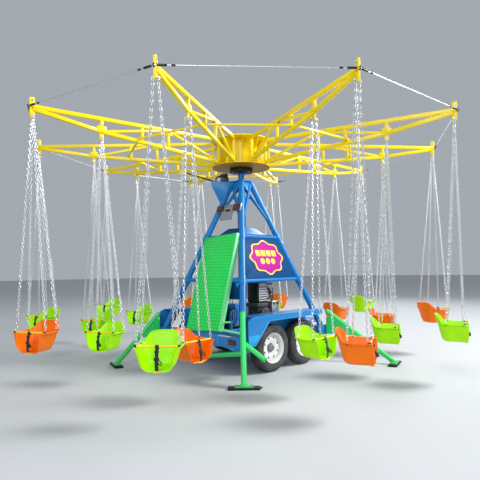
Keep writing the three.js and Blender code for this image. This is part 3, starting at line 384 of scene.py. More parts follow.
def moulded_plastic(name, colour):
    """Rotation-moulded polyethylene: waxy half gloss, a faint 4 mm ripple, light scuffs."""
    material, tree, shader = new_material(
        name,
        0.34,
        IOR=1.5,
        Subsurface_Weight=0.12,
        Subsurface_Radius=(0.02, 0.02, 0.01),
        Specular_IOR_Level=0.2,
        Coat_Weight=0.08,
        Coat_Roughness=0.2,
    )
    place = object_place(tree)
    cloudy = between(tree, noise(tree, place, 6.0), 0.35, 0.7)
    plastic = mix(tree, cloudy, darker(colour, 0.88), colour)
    scuffs = between(tree, noise(tree, place, 30.0, 8.0, (1, 1, 6)), 0.66, 0.72, 0.0, 0.35)
    plastic = mix(tree, scuffs, plastic, tuple(min(1.0, c + 0.25) for c in colour))
    tree.links.new(plastic, shader.inputs["Base Color"])
    bump(tree, shader, noise(tree, place, 90.0, 2.0), 0.08, 0.001)
    return material


def metal(name, colour, roughness, grain=(1, 1, 1), scale=60.0):
    """Bare or plated metal: colour in the reflection, with a grain or spangle in its gloss."""
    material, tree, shader = new_material(name, roughness, metallic=1.0)
    place = object_place(tree)
    spangle = noise(tree, place, scale, 5.0, grain)
    tint = mix(tree, between(tree, spangle, 0.3, 0.7), darker(colour, 0.72), colour)
    tree.links.new(tint, shader.inputs["Base Color"])
    rough = between(tree, spangle, 0.3, 0.7, roughness - 0.08, roughness + 0.12)
    tree.links.new(rough, shader.inputs["Roughness"])
    bump(tree, shader, spangle, 0.05, 0.0008)
    return material


def matte(name, colour, roughness, scale, relief, dust):
    """A dull dark surface such as rubber or cast iron, with its grit and some dust on it."""
    material, tree, shader = new_material(name, roughness, IOR=1.45)
    place = object_place(tree)
    grit = noise(tree, place, scale, 6.0)
    tone = mix(tree, between(tree, grit, 0.3, 0.7), darker(colour, 0.8), colour)
    patches = between(tree, noise(tree, place, 9.0, 6.0), 0.45, 0.8, 0.0, 0.5)
    tone = mix(tree, patches, tone, dust)
    tree.links.new(tone, shader.inputs["Base Color"])
    bump(tree, shader, grit, relief, 0.001)
    return material


def tread_plate(name, colour, across, up):
    """Painted steel tread plate: raised lozenges, their tops painted brighter as a painted
    highlight.

    Real lozenges stand 25 to 30 mm apart; here it is 46 mm, so that they show. across and up
    are the axes that the plate lies along.
    """
    pitch, squash = 0.046, 0.72
    material, tree, shader = new_material(name, 0.36, IOR=1.5, Coat_Weight=0.3)
    place = object_place(tree)
    axes = add_node(tree, "ShaderNodeSeparateXYZ", links={0: place}).outputs
    wide = maths(tree, "MULTIPLY", axes[across], squash)
    waves = []
    for operation in ("ADD", "SUBTRACT"):
        slope = maths(tree, operation, wide, axes[up])
        waves.append(maths(tree, "SINE", maths(tree, "MULTIPLY", slope, math.pi / pitch)))
    lozenge = between(tree, maths(tree, "MULTIPLY", *waves), 0.25, 0.6)
    faded = between(tree, noise(tree, place, 2.5), 0.35, 0.7)
    paint = mix(tree, faded, darker(colour, 0.72), darker(colour, 0.84))
    # The lozenges' tops are painted brighter in the paint's own colour: painted highlight
    lit_tops = between(tree, lozenge, 0.0, 1.0, 0.0, 0.8)
    paint = mix(tree, lit_tops, paint, tuple(min(1.0, c * 1.25 + 0.03) for c in colour))
    tree.links.new(paint, shader.inputs["Base Color"])
    bump(tree, shader, lozenge, 0.6, 0.002)
    return material


def webbing(name, colour):
    """Woven nylon webbing: ribs 4 mm apart in place of 1.5 mm, so that they show."""
    material, tree, shader = new_material(name, 0.75, Sheen_Weight=0.3)
    place = object_place(tree)
    ribs = add_node(
        tree,
        "ShaderNodeTexWave",
        {"Scale": 40.0, "bands_direction": "Z"},
        {"Vector": place},
    ).outputs[1]
    tone = mix(tree, ribs, darker(colour, 0.55), colour)
    tree.links.new(tone, shader.inputs["Base Color"])
    bump(tree, shader, ribs, 0.3, 0.0008)
    return material


def lens(name, colour):
    """A moulded acrylic lamp lens: deep clear colour over a 6 mm grid of small pillows."""
    material, tree, shader = new_material(
        name, 0.12, IOR=1.49, Coat_Weight=0.6, Coat_Roughness=0.05
    )
    place = object_place(tree)
    cells = add_node(tree, "ShaderNodeTexVoronoi", {"Scale": 160.0}, {"Vector": place}).outputs[0]
    tone = mix(tree, between(tree, cells, 0.0, 0.8), colour, darker(colour, 0.45))
    tree.links.new(tone, shader.inputs["Base Color"])
    bump(tree, shader, cells, 0.25, 0.001)
    return material


def make_materials(colours):
    """All the finishes, keyed by a short name."""
    grey_dust, brown_dust = linear("#6f6a62"), linear("#77726a")
    return {
        # Polyester enamel sprayed over welded tube: a clear, even, glossy yellow
        "yellow": enamel("yellow_enamel_on_steel", colours.yellow[:3]),
        # The same yellow, darker and browner, on the faces under the hub: painted shade, since they
        # face the ground
        "shaded_yellow": enamel(
            "yellow_enamel_painted_shade", linear("#b88200"), coat=0.0, gloss=0.1
        ),
        # The same enamel in the tower's blues: glossy, and greyed by dust towards the road
        "blue": enamel("blue_enamel_on_steel", colours.blue[:3], dust=0.25),
        "light_blue": enamel("light_blue_enamel_on_steel", colours.light_blue[:3], dust=0.2),
        # Flat sheet, painted without a top coat: a deep blue that mirrors little of the sky
        "dark_blue": enamel(
            "dark_blue_enamel_on_sheet",
            colours.dark_blue[:3],
            dust=0.1,
            roughness=0.5,
            coat=0.0,
            gloss=0.1,
        ),
        # Green enamel, bright and glossy: the struts', dusty low down, and a paler copy that is
        # painted highlight, on the ramp's right rim and its stays
        "green": enamel("green_enamel_on_steel", colours.green[:3], dust=0.2),
        "highlight_green": enamel("green_enamel_painted_highlight", colours.ramp_edge[:3], dust=0.1),
        # Rolled steel tread plate under thick paint: rows of small lozenges with painted highlights
        # on their tops
        "ramp": tread_plate("green_painted_tread_plate", colours.ramp[:3], "Y", "Z"),
        "deck": tread_plate("blue_painted_tread_plate", colours.blue[:3], "X", "Y"),
        # Rotation-moulded polyethylene: bright, waxy and slightly see-through at its edges
        "lime": moulded_plastic("lime_polyethylene", colours.lime[:3]),
        "orange": moulded_plastic("orange_polyethylene", colours.orange[:3]),
        # Powder coat on the lap bars: softer in its gloss than the enamel
        "bar": enamel("yellow_powder_coat", colours.lap_bar[:3], roughness=0.4),
        # Woven nylon: dull black with ribs across it
        "strap": webbing("black_nylon_webbing", linear("#17181a")),
        # Hot-dip zinc: pale grey with a soft spangle
        "zinc": metal("hot_dip_galvanised_steel", linear("#eef0f2"), 0.4),
        # Electroplated zinc on bolts: a smoother, slightly warm grey
        "plated": metal("zinc_plated_bolts", linear("#c2c4c0"), 0.3),
        # Brushed aluminium: a pale grey that shines in fine streaks along the sheet
        "alloy": metal("brushed_aluminium_sheet", linear("#c9ccd0"), 0.34, (1, 12, 1), 40.0),
        # Ground and polished steel of the lift cylinder: nearly a mirror, with a faint grain
        "polished": metal("polished_steel_cylinder", linear("#d8dce0"), 0.22, (8, 1, 1), 30.0),
        # Machined steel of the hub caps: an even mid grey with a soft shine
        "hub_grey": metal("machined_hub_steel", linear("#9a9da0"), 0.36),
        # Satin black enamel on machine parts, and light grey on covers and the fuel tank
        "black": enamel("black_machine_enamel", linear("#17191c"), roughness=0.4),
        "grey": enamel("light_grey_enamel_on_sheet", linear("#c6cacd")),
        # Sand-cast iron: rough dark grey that holds dust
        "iron": matte("cast_iron_engine", linear("#3b3e41"), 0.62, 70.0, 0.3, grey_dust),
        # Vulcanised rubber: the tyres greyed by the road, hoses and pads darker
        "tyre": matte("tyre_rubber", linear("#3c3c3e"), 0.82, 120.0, 0.25, brown_dust),
        "rubber": matte("black_rubber", linear("#1d1e20"), 0.85, 90.0, 0.25, grey_dust),
        # Stoved white enamel on the wheel rims, dusty from the road
        "white": enamel("white_wheel_enamel", linear("#f4f4f2"), dust=0.25),
        # Sign enamels without a glossy top coat: flat and clear, so the design reads from afar
        "magenta": enamel("magenta_sign_enamel", colours.sign_shape[:3], coat=0.0, gloss=0.1),
        "sign_yellow": enamel("yellow_sign_enamel", colours.sign_mark[:3], coat=0.05),
        # Moulded acrylic: dark red, glossy, with small pillows
        "red_lens": lens("red_acrylic_lens", linear("#620a14")),
    }


# Modelling


def deselect():
    """Leaves edit mode with nothing selected."""
    if bpy.context.mode != "OBJECT":
        bpy.ops.object.mode_set(mode="OBJECT")
    bpy.ops.object.select_all(action="DESELECT")


def activate(obj):
    """Makes an object the active one and the only one selected."""
    deselect()
    obj.select_set(True)
    bpy.context.view_layer.objects.active = obj
    return obj


@contextmanager
def editing(obj):
    """Edit mode on one object, with everything in it selected."""
    activate(obj)
    bpy.ops.object.mode_set(mode="EDIT")
    bpy.ops.mesh.select_all(action="SELECT")
    yield obj
    bpy.ops.object.mode_set(mode="OBJECT")


def pick(obj, kind, test):
    """Selects the vertices, edges or faces that pass a test on their middle and themselves."""
    bpy.ops.mesh.select_mode(type=kind)
    bpy.ops.mesh.select_all(action="DESELECT")
    mesh = bmesh.from_edit_mesh(obj.data)
    items = {"VERT": mesh.verts, "EDGE": mesh.edges, "FACE": mesh.faces}[kind]
    for item in items:
        if kind == "VERT":
            middle = item.co
        else:
            middle = sum((v.co for v in item.verts), Vector()) / len(item.verts)
        item.select_set(test(middle, item))
    mesh.select_flush_mode()
    bmesh.update_edit_mesh(obj.data)


def set_down(obj):
    """Puts an object's place, turn and size into its mesh."""
    activate(obj)
    bpy.ops.object.transform_apply(location=True, rotation=True, scale=True)
    return obj


def modify(obj, kind, **settings):
    """Adds a modifier and applies it."""
    activate(obj)
    modifier = obj.modifiers.new(kind.lower(), kind)
    for key, value in settings.items():
        setattr(modifier, key, value)
    bpy.ops.object.modifier_apply(modifier=modifier.name)
    return obj


def bevel(obj, width, segments=2, angle=30):
    """Rounds the edges that are sharper than an angle in degrees."""
    return modify(
        obj,
        "BEVEL",
        width=width,
        segments=segments,
        limit_method="ANGLE",
        angle_limit=math.radians(angle),
    )


def smooth(obj, angle=35):
    """Shades a piece smooth, apart from the edges that are sharper than an angle."""
    activate(obj)
    bpy.ops.object.shade_smooth_by_angle(angle=math.radians(angle), keep_sharp_edges=False)
    return obj


def recalculate(obj):
    """Turns all the faces outward."""
    with editing(obj):
        bpy.ops.mesh.normals_make_consistent(inside=False)
    return obj


def moved(obj, matrix):
    """Moves an object by a matrix and puts the move into its mesh."""
    obj.matrix_world = matrix @ obj.matrix_world
    return set_down(obj)


def copy_of(obj, matrix=None):
    """A copy of a piece, moved by a matrix where there is one."""
    activate(obj)
    bpy.ops.object.duplicate()
    twin = bpy.context.object
    return moved(twin, matrix) if matrix else twin


def joined(pieces):
    """Joins pieces into the first of them."""
    deselect()
    for piece in pieces:
        piece.select_set(True)
    bpy.context.view_layer.objects.active = pieces[0]
    if len(pieces) > 1:
        bpy.ops.object.join()
    return pieces[0]


def discard(*objects):
    """Removes pieces that served as patterns only."""
    for obj in objects:
        bpy.data.objects.remove(obj)


def paint(obj, material):
    """Gives a whole piece one finish."""
    obj.data.materials.clear()
    obj.data.materials.append(material)
    return obj


def fit(obj, name, body, replaces=()):
    """Names a finished piece, puts it on its body and says what it stands for."""
    set_down(obj)
    obj.name = name
    obj.data.name = name
    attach(obj, body)
    if replaces:
        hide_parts(*replaces)
    return obj


def cylinder(start, end, radius, sides):
    """A plain cylinder between two points."""
    start, end = Vector(start), Vector(end)
    run = end - start
    deselect()
    bpy.ops.mesh.primitive_cylinder_add(
        vertices=sides,
        radius=radius,
        depth=run.length,
        location=(start + end) / 2,
        rotation=run.to_track_quat("Z", "Y").to_euler(),
    )
    return set_down(bpy.context.object)


def tube(start, end, radius, sides=24, wall=0.004):
    """A round tube between two points, hollow at its ends."""
    obj = cylinder(start, end, radius, sides)
    with editing(obj):
        pick(obj, "FACE", lambda middle, face: len(face.verts) > 4)
        bpy.ops.mesh.inset(thickness=min(wall, radius * 0.3))
        bpy.ops.mesh.extrude_region_shrink_fatten(
            TRANSFORM_OT_shrink_fatten={"value": -radius * 0.5}
        )
    return smooth(obj)


def rod(start, end, radius, sides=12):
    """A solid round bar with rounded ends."""
    return smooth(bevel(cylinder(start, end, radius, sides), radius * 0.25, 2, 60))


def block(low, high, edge=0.004, segments=2):
    """A box between two corners, with its edges rounded."""
    low, high = Vector(low), Vector(high)
    deselect()
    bpy.ops.mesh.primitive_cube_add(size=1, location=(low + high) / 2, scale=high - low)
    obj = set_down(bpy.context.object)
    with editing(obj):
        bpy.ops.mesh.bevel(offset=edge, segments=segments, affect="EDGES")
    return smooth(obj, 50)


def beam(start, end, depth, width, edge=0.005):
    """A rectangular tube between any two points; its width stays level."""
    start, end = Vector(start), Vector(end)
    run = end - start
    obj = block((0, -width / 2, -depth / 2), (run.length, width / 2, depth / 2), edge)
    flat = Vector((run.x, run.y, 0))
    yaw = math.atan2(run.y, run.x) if flat.length > 1e-6 else 0.0
    pitch = -math.atan2(run.z, flat.length)
    matrix = (
        Matrix.Translation(start) @ Matrix.Rotation(yaw, 4, "Z") @ Matrix.Rotation(pitch, 4, "Y")
    )
    return moved(obj, matrix)


def drawn(points):
    """An open line drawn by extruding one vertex from point to point, left in edit mode."""
    deselect()
    bpy.ops.mesh.primitive_plane_add(size=0.001, location=(0, 0, 0))
    obj = bpy.context.object
    activate(obj)
    bpy.ops.object.mode_set(mode="EDIT")
    bpy.ops.mesh.select_mode(type="VERT")
    bpy.ops.mesh.select_all(action="SELECT")
    bpy.ops.mesh.merge(type="CENTER")
    bpy.ops.transform.translate(value=points[0])
    for here, there in zip(points, points[1:]):
        step = Vector(there) - Vector(here)
        bpy.ops.mesh.extrude_vertices_move(TRANSFORM_OT_translate={"value": step})
    bpy.ops.mesh.select_all(action="SELECT")
    return obj


def sheet_metal(points, thickness, edge=0.0015):
    """A flat plate with the given outline, thickened along a vector, its edges broken."""
    obj = drawn(points)
    bpy.ops.mesh.edge_face_add()
    bpy.ops.mesh.extrude_region_move(TRANSFORM_OT_translate={"value": thickness})
    bpy.ops.mesh.select_all(action="SELECT")
    bpy.ops.mesh.normals_make_consistent(inside=False)
    bpy.ops.object.mode_set(mode="OBJECT")
    return smooth(bevel(obj, edge, 2)) if edge else obj


def turned(profile, steps=48, angle=35):
    """A turned form: a profile of (radius, height) points spun round the Z axis."""
    obj = drawn([(radius, 0, height) for radius, height in profile])
    bpy.ops.mesh.spin(steps=steps, angle=2 * math.pi, center=(0, 0, 0), axis=(0, 0, 1))
    bpy.ops.mesh.select_all(action="SELECT")
    bpy.ops.mesh.remove_doubles(threshold=0.00002)
    bpy.ops.mesh.normals_make_consistent(inside=False)
    bpy.ops.object.mode_set(mode="OBJECT")
    return smooth(obj, angle)


def pipe(points, radius, resolution=3):
    """A bent pipe or hose along points, round in section, with closed ends."""
    drawn(points)
    bpy.ops.object.mode_set(mode="OBJECT")
    bpy.ops.object.convert(target="CURVE")
    curve = bpy.context.object
    curve.data.bevel_depth = radius
    curve.data.bevel_resolution = resolution
    curve.data.use_fill_caps = True
    bpy.ops.object.convert(target="MESH")
    return smooth(recalculate(bpy.context.object), 50)


def repaint(obj, material, test):
    """Gives the faces that pass a test another finish."""
    obj.data.materials.append(material)
    with editing(obj):
        pick(obj, "FACE", test)
        obj.active_material_index = len(obj.data.materials) - 1
        bpy.ops.object.material_slot_assign()
    return obj


def bolt(place, normal, size=0.012, sides=6):
    """A hexagon head on a round washer, standing on a surface."""
    normal = Vector(normal).normalized()
    turn = normal.to_track_quat("Z", "Y").to_matrix().to_4x4()
    washer = turned([(0, 0), (size * 1.25, 0), (size * 1.25, size * 0.2), (0, size * 0.2)], 12)
    deselect()
    bpy.ops.mesh.primitive_cylinder_add(
        vertices=sides, radius=size, depth=size * 0.75, location=(0, 0, size * 0.55)
    )
    head = bpy.context.object
    with editing(head):
        pick(head, "FACE", lambda middle, face: face.normal.z > 0.9)
        bpy.ops.mesh.bevel(offset=size * 0.12, segments=1, affect="EDGES")
    return moved(joined([washer, head]), Matrix.Translation(place) @ turn)


def ring(place, normal, radius, wire, major=16, minor=6):
    """A small round ring, drawn out a little so that it hangs."""
    deselect()
    bpy.ops.mesh.primitive_torus_add(
        major_segments=major,
        minor_segments=minor,
        major_radius=radius,
        minor_radius=wire,
        location=place,
        rotation=Vector(normal).to_track_quat("Z", "Y").to_euler(),
    )
    obj = set_down(bpy.context.object)
    with editing(obj):
        pick(obj, "VERT", lambda co, v: co.z > place[2])
        bpy.ops.transform.translate(value=(0, 0, wire))
    return smooth(obj, 60)


def dressed(node, edge=0.003):
    """A copy of a CAD node with its flat sides joined up and its edges rounded."""
    source = frame["nodes"][node]
    activate(source)
    bpy.ops.object.duplicate()
    obj = bpy.context.object
    world = obj.matrix_world.copy()
    obj.parent = None
    obj.matrix_world = world
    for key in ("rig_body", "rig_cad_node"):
        del obj[key]
    with editing(obj):
        bpy.ops.mesh.remove_doubles(threshold=0.00005)
        bpy.ops.mesh.dissolve_limited(angle_limit=math.radians(1))
    return smooth(bevel(obj, edge, 2, 40), 40)


def on_face(obj, foot_z, outset, quarter):
    """Lays a piece drawn upright about the origin on a tower face, leaning with it."""
    lean = Matrix.Rotation(-FACE_LEAN, 4, "X")
    out = Matrix.Translation((0, -leg_half(foot_z) - outset / math.cos(FACE_LEAN), foot_z))
    return moved(obj, Matrix.Rotation(quarter * math.pi / 2, 4, "Z") @ out @ lean)


def around(angle):
    """A turn about the vertical axis."""
    return Matrix.Rotation(angle, 4, "Z")


def arm_turn(k):
    """The turn that brings what is drawn along +X to an arm's place."""
    return around(FIRST_ARM + k * ARM_STEP)


# Settings


class RideColours(bpy.types.PropertyGroup):
    """The ride's paints and plastics."""


class RideSizes(bpy.types.PropertyGroup):
    """Sizes that only the dressing has."""


def colour_property(name, description, hex_colour):
    return bpy.props.FloatVectorProperty(
        name=name,
        description=description,
        subtype="COLOR",
        size=3,
        min=0,
        max=1,
        default=linear(hex_colour),
    )


def length_property(name, description, default):
    return bpy.props.FloatProperty(
        name=name, description=description, unit="LENGTH", min=0.0, default=default
    )


RideColours.__annotations__ = {
    "yellow": colour_property("Rotor yellow", "Enamel of the arms and the hub", "#ffe200"),
    "blue": colour_property("Tower blue", "Enamel of the tower and the trailer", "#007eca"),
    "light_blue": colour_property("Light blue", "Enamel of small brackets", "#1ea6ee"),
    "dark_blue": colour_property("Dark blue", "Enamel of the sheet panels", "#00467c"),
    "green": colour_property("Outrigger green", "Enamel of the outriggers", "#1ee06c"),
    "ramp": colour_property("Ramp green", "Paint of the boarding ramp", "#10f45e"),
    "ramp_edge": colour_property("Ramp edge", "Enamel of the ramp's rims", "#8cffac"),
    "lime": colour_property("Lime", "Plastic of the lime buckets", "#aef600"),
    "orange": colour_property("Orange", "Plastic of the orange buckets", "#ff7a00"),
    "lap_bar": colour_property("Lap bar", "Powder coat of the lap bars", "#ffe000"),
    "sign_shape": colour_property("Sign shape", "The large shape on the sign", "#bc0098"),
    "sign_mark": colour_property("Sign marks", "The small marks on the sign", "#ffe600"),
    "floor": colour_property("Floor", "The pale floor under the ride", "#c2c5c8"),
}

RideSizes.__annotations__ = {
    "chain_pitch": length_property("Chain pitch", "Inner length of a chain link", 0.040),
    "chain_wire": length_property("Chain wire", "Diameter of a link's wire", 0.008),
    "chain_width": length_property("Chain width", "Outer width of a link", 0.032),
    "bucket_wall": length_property("Bucket wall", "Thickness of a bucket's plastic", 0.007),
    "rim_bead": length_property("Rim bead", "Radius of the bead round a bucket's edge", 0.0080),
    "tube_edge": length_property("Tube edge", "Corner radius of rectangular tubes", 0.006),
}


class RideOperator:
    """What all the ride's operators share."""

    bl_options = {"REGISTER", "UNDO"}

    def finishes(self, context):
        """All the finishes: made for the first operator that asks, then found by name."""
        names = context.scene.get("ride_materials")
        if not names:
            made = make_materials(context.scene.swing_ride_colours)
            context.scene["ride_materials"] = {key: m.name for key, m in made.items()}
            return made
        return {key: bpy.data.materials[names[key]] for key in names.keys()}


class RIDE_OT_arms(RideOperator, bpy.types.Operator):
    """Ten truss arms of rectangular tube, each with its tip post, lugs and stay fittings"""

    bl_idname = "swing_ride.arms"
    bl_label = "Truss Arms"

    def execute(self, context):
        finish = self.finishes(context)
        edge = context.scene.swing_ride_sizes.tube_edge
        tubes = [
            beam(top_chord(ROOT), top_chord(TIP_RADIUS), 0.052, 0.044, edge),
            beam(bottom_chord(ROOT), bottom_chord(MID_RADIUS), 0.052, 0.044, edge),
            beam(bottom_chord(MID_RADIUS), (TIP_RADIUS, 0, TIP_FOOT_Z), 0.050, 0.0436, edge),
            beam((ROOT, 0, DISC_TOP), (ROOT, 0, TOP_PLATE_Z), 0.042, 0.0430, edge),
            beam(bottom_chord(ROOT), top_chord(INNER_POST), 0.036, 0.036, edge),
            beam(top_chord(INNER_POST), bottom_chord(MID_RADIUS), 0.036, 0.036, edge),
        ]
        for radius in (INNER_POST, MIDDLE_POST, MID_RADIUS):
            tubes.append(beam(bottom_chord(radius), top_chord(radius), 0.042, 0.040, edge))
        # The tip post and the lug under the middle, which hold the seats' pins
        tubes.append(block((3.2105, -0.012, 3.386), (3.2695, 0.012, TIP_POST_TOP), 0.003))
        tubes.append(block((2.352, -0.008, 3.258), (2.408, 0.008, 3.350), 0.003))
        for radius, z in ((INNER_POST, 3.508), (MID_RADIUS, 3.395)):
            for side in (-1, 1):
                gusset = [
                    (radius + x, side * 0.022, z + up)
                    for x, up in ((-0.06, -0.035), (0.06, -0.035), (0.06, 0.035), (-0.06, 0.035))
                ]
                tubes.append(sheet_metal(gusset, (0, side * 0.003, 0)))
        arm = paint(joined(tubes), finish["yellow"])

        cap = turned([(0, 0), (0.014, 0), (0.014, 0.006), (0, 0.006)], 16)
        fittings = [moved(cap, Matrix.Translation((TIP_RADIUS, 0, TIP_POST_TOP - 0.001)))]
        for z in (3.545, 3.585):
            for side in (-1, 1):
                fittings.append(bolt((TIP_RADIUS, side * 0.012, z), (0, side, 0), 0.009))
        steel = paint(joined(fittings), finish["plated"])
        for k in range(ARM_COUNT):
            fit(
                copy_of(arm, arm_turn(k)),
                f"truss_arm_{k}",
                "rotor",
                [f"arm_{k}"],
            )
            fit(copy_of(steel, arm_turn(k)), f"tip_bolts_{k}", "rotor")
        discard(arm, steel)
        return {"FINISHED"}


class RIDE_OT_hub(RideOperator, bpy.types.Operator):
    """The hub drum between its two plates, with ribs and the bolts of every arm"""

    bl_idname = "swing_ride.hub"
    bl_label = "Hub"

    def execute(self, context):
        finish = self.finishes(context)
        drum = turned(
            [
                (0.0612, 3.265),
                (0.0612, DISC_Z - 0.005),
                (0.178, DISC_Z - 0.005),
                (0.180, DISC_Z - 0.003),
                (0.180, DISC_Z),
                (0.473, DISC_Z),
                (0.475, DISC_Z + 0.002),
                (0.475, DISC_TOP - 0.002),
                (0.473, DISC_TOP),
                (DRUM_RADIUS + 0.010, DISC_TOP),
                (DRUM_RADIUS, DISC_TOP + 0.010),
                (DRUM_RADIUS, TOP_PLATE_Z - 0.010),
                (DRUM_RADIUS + 0.010, TOP_PLATE_Z),
                (0.483, TOP_PLATE_Z),
                (0.485, TOP_PLATE_Z + 0.002),
                (0.485, TOP_PLATE_TOP - 0.002),
                (0.483, TOP_PLATE_TOP),
                (0.120, TOP_PLATE_TOP),
                (0.110, 3.612),
                (0.0, 3.614),
            ],
            64,
        )
        parts = [drum]
        root, low, high = DRUM_RADIUS - 0.002, DISC_TOP + 0.002, TOP_PLATE_Z - 0.002
        outline = [
            (root, low), (0.455, low), (0.420, 3.250), (0.330, 3.400), (0.420, 3.530),
            (0.455, high), (root, high),
        ]
        for k in range(ARM_COUNT):
            rib = sheet_metal([(x, -0.004, z) for x, z in outline], (0, 0.008, 0))
            parts.append(moved(rib, arm_turn(k) @ around(ARM_STEP / 2)))
        drum = paint(joined(parts), finish["yellow"])
        # The disc's downward faces get the darker yellow: painted shade
        under = lambda middle, face: face.normal.z < -0.5 and middle.z < 3.2
        repaint(drum, finish["shaded_yellow"], under)
        fit(drum, "hub_drum", "rotor", ["hub"])
        bolts = []
        for k in range(ARM_COUNT):
            for offset in (-0.10, 0.10):
                turn = arm_turn(k) @ around(offset)
                bolts.append(bolt(turn @ Vector((0.452, 0, TOP_PLATE_TOP)), (0, 0, 1), 0.011))
                bolts.append(bolt(turn @ Vector((0.440, 0, DISC_Z)), (0, 0, -1), 0.011))
        fit(paint(joined(bolts), finish["plated"]), "hub_bolts", "rotor")
        return {"FINISHED"}


class RIDE_OT_stays(RideOperator, bpy.types.Operator):
    """The tie bars across the arms and the stay cable round their tips"""

    bl_idname = "swing_ride.stays"
    bl_label = "Ties and Stay Cable"

    def execute(self, context):
        finish = self.finishes(context)
        low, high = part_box("tie_ring")
        tie_z = (low.z + high.z) / 2
        ties, cables, sleeves = [], [], []
        for k in range(ARM_COUNT):
            here, there = arm_turn(k), arm_turn(k + 1)
            ends = [turn @ Vector((TIE_CORNER, 0, tie_z)) for turn in (here, there)]
            ties.append(beam(ends[0], ends[1], 0.028, 0.028, 0.004))
            start, end = [turn @ Vector((STAY_RADIUS, 0, STAY_Z)) for turn in (here, there)]
            cables.append(tube(start, end, 0.0055, 10, 0.001))
            run = (end - start).normalized()
            for place, way in ((start, run), (end, -run)):
                sleeves.append(rod(place + way * 0.03, place + way * 0.13, 0.012))
                sleeves.append(rod(place + way * 0.17, place + way * 0.21, 0.010))
            sleeves.append(ring(start, here.to_3x3() @ Vector((0, 1, 0)), 0.014, 0.005))
        fit(
            paint(joined(ties), finish["yellow"]), "tie_bars", "rotor", ["tie_ring"]
        )
        fit(
            paint(joined(cables), finish["zinc"]),
            "stay_cable",
            "rotor",
            ["perimeter_cable"],
        )
        fit(paint(joined(sleeves), finish["black"]), "cable_sleeves", "rotor")
        return {"FINISHED"}


def bucket_shell(wall, bead):
    """A bucket open at the front, from a grid: walls drawn up round its floor, a raked back."""
    deselect()
    bpy.ops.mesh.primitive_grid_add(x_subdivisions=6, y_subdivisions=6, size=1)
    shell = bpy.context.object
    height, front, back, half = BUCKET_FLOOR
    shell.scale = (front - back, 2 * half, 1)
    set_down(shell)
    with editing(shell):
        # The floor's back corners are drawn in, so that the back wall comes out round
        for side in (-1, 1):
            pick(shell, "VERT", lambda co, v: co.x < back + 0.001 and side * co.y > half - 0.001)
            bpy.ops.transform.translate(value=(0.026, -side * 0.023, 0))
            pick(shell, "VERT", lambda co, v: co.x < back + 0.001 and 0.06 < side * co.y < 0.08)
            bpy.ops.transform.translate(value=(0.006, 0, 0))
            pick(shell, "VERT", lambda co, v: -0.09 < co.x < -0.07 and side * co.y > half - 0.001)
            bpy.ops.transform.translate(value=(0, -side * 0.005, 0))
        # The walls go up ring by ring from all the floor's edges but the front one
        pick(shell, "EDGE", lambda middle, edge: edge.is_boundary and middle.x < front - 0.0001)
        for new_height, new_front, new_back, new_half in BUCKET_RINGS:
            longer = (new_front - new_back) / (front - back)
            fixed = (new_front - longer * front) / (1 - longer)
            bpy.ops.mesh.extrude_region_move(
                TRANSFORM_OT_translate={"value": (0, 0, new_height - height)}
            )
            bpy.ops.transform.resize(
                value=(longer, new_half / half, 1), center_override=(fixed, 0, 0)
            )
            height, front, back, half = new_height, new_front, new_back, new_half
        for far, near, wide, rise in BACK_STEPS:
            pick(
                shell,
                "VERT",
                lambda co, v: abs(co.z - EAR_Z) < 0.005 and far < co.x < near and abs(co.y) < wide,
            )
            bpy.ops.transform.translate(value=(-BACK_RAKE * rise, 0, rise))
        # Ears stand out along the sides' top edges and carry the chains
        for side in (-1, 1):
            pick(
                shell,
                "EDGE",
                lambda middle, edge: edge.is_boundary
                and 0.2 < middle.z < 0.24
                and -0.13 < middle.x < 0.12
                and side * middle.y > 0.15,
            )
            bpy.ops.mesh.extrude_region_move(
                TRANSFORM_OT_translate={"value": (0, side * 0.024, 0.001)}
            )
        # A lip turns down along the open front
        pick(shell, "EDGE", lambda middle, edge: edge.is_boundary and middle.z < 0.005)
        bpy.ops.mesh.extrude_region_move(TRANSFORM_OT_translate={"value": (0.020, 0, -0.004)})
        bpy.ops.mesh.select_all(action="SELECT")
        bpy.ops.mesh.normals_make_consistent(inside=False)
    modify(shell, "SUBSURF", levels=2, render_levels=2)
    with editing(shell):
        bpy.ops.mesh.select_mode(type="EDGE")
        pick(shell, "EDGE", lambda middle, edge: edge.is_boundary)
        bpy.ops.mesh.duplicate()
        bpy.ops.mesh.separate(type="SELECTED")
    rim = next(o for o in bpy.context.selected_objects if o != shell)
    activate(rim)
    bpy.ops.object.convert(target="CURVE")
    rim = bpy.context.object
    rim.data.bevel_depth = bead
    rim.data.bevel_resolution = 1
    bpy.ops.object.convert(target="MESH")
    rim = recalculate(bpy.context.object)
    modify(shell, "SOLIDIFY", thickness=wall, offset=0.0)
    return smooth(joined([shell, rim]), 50)


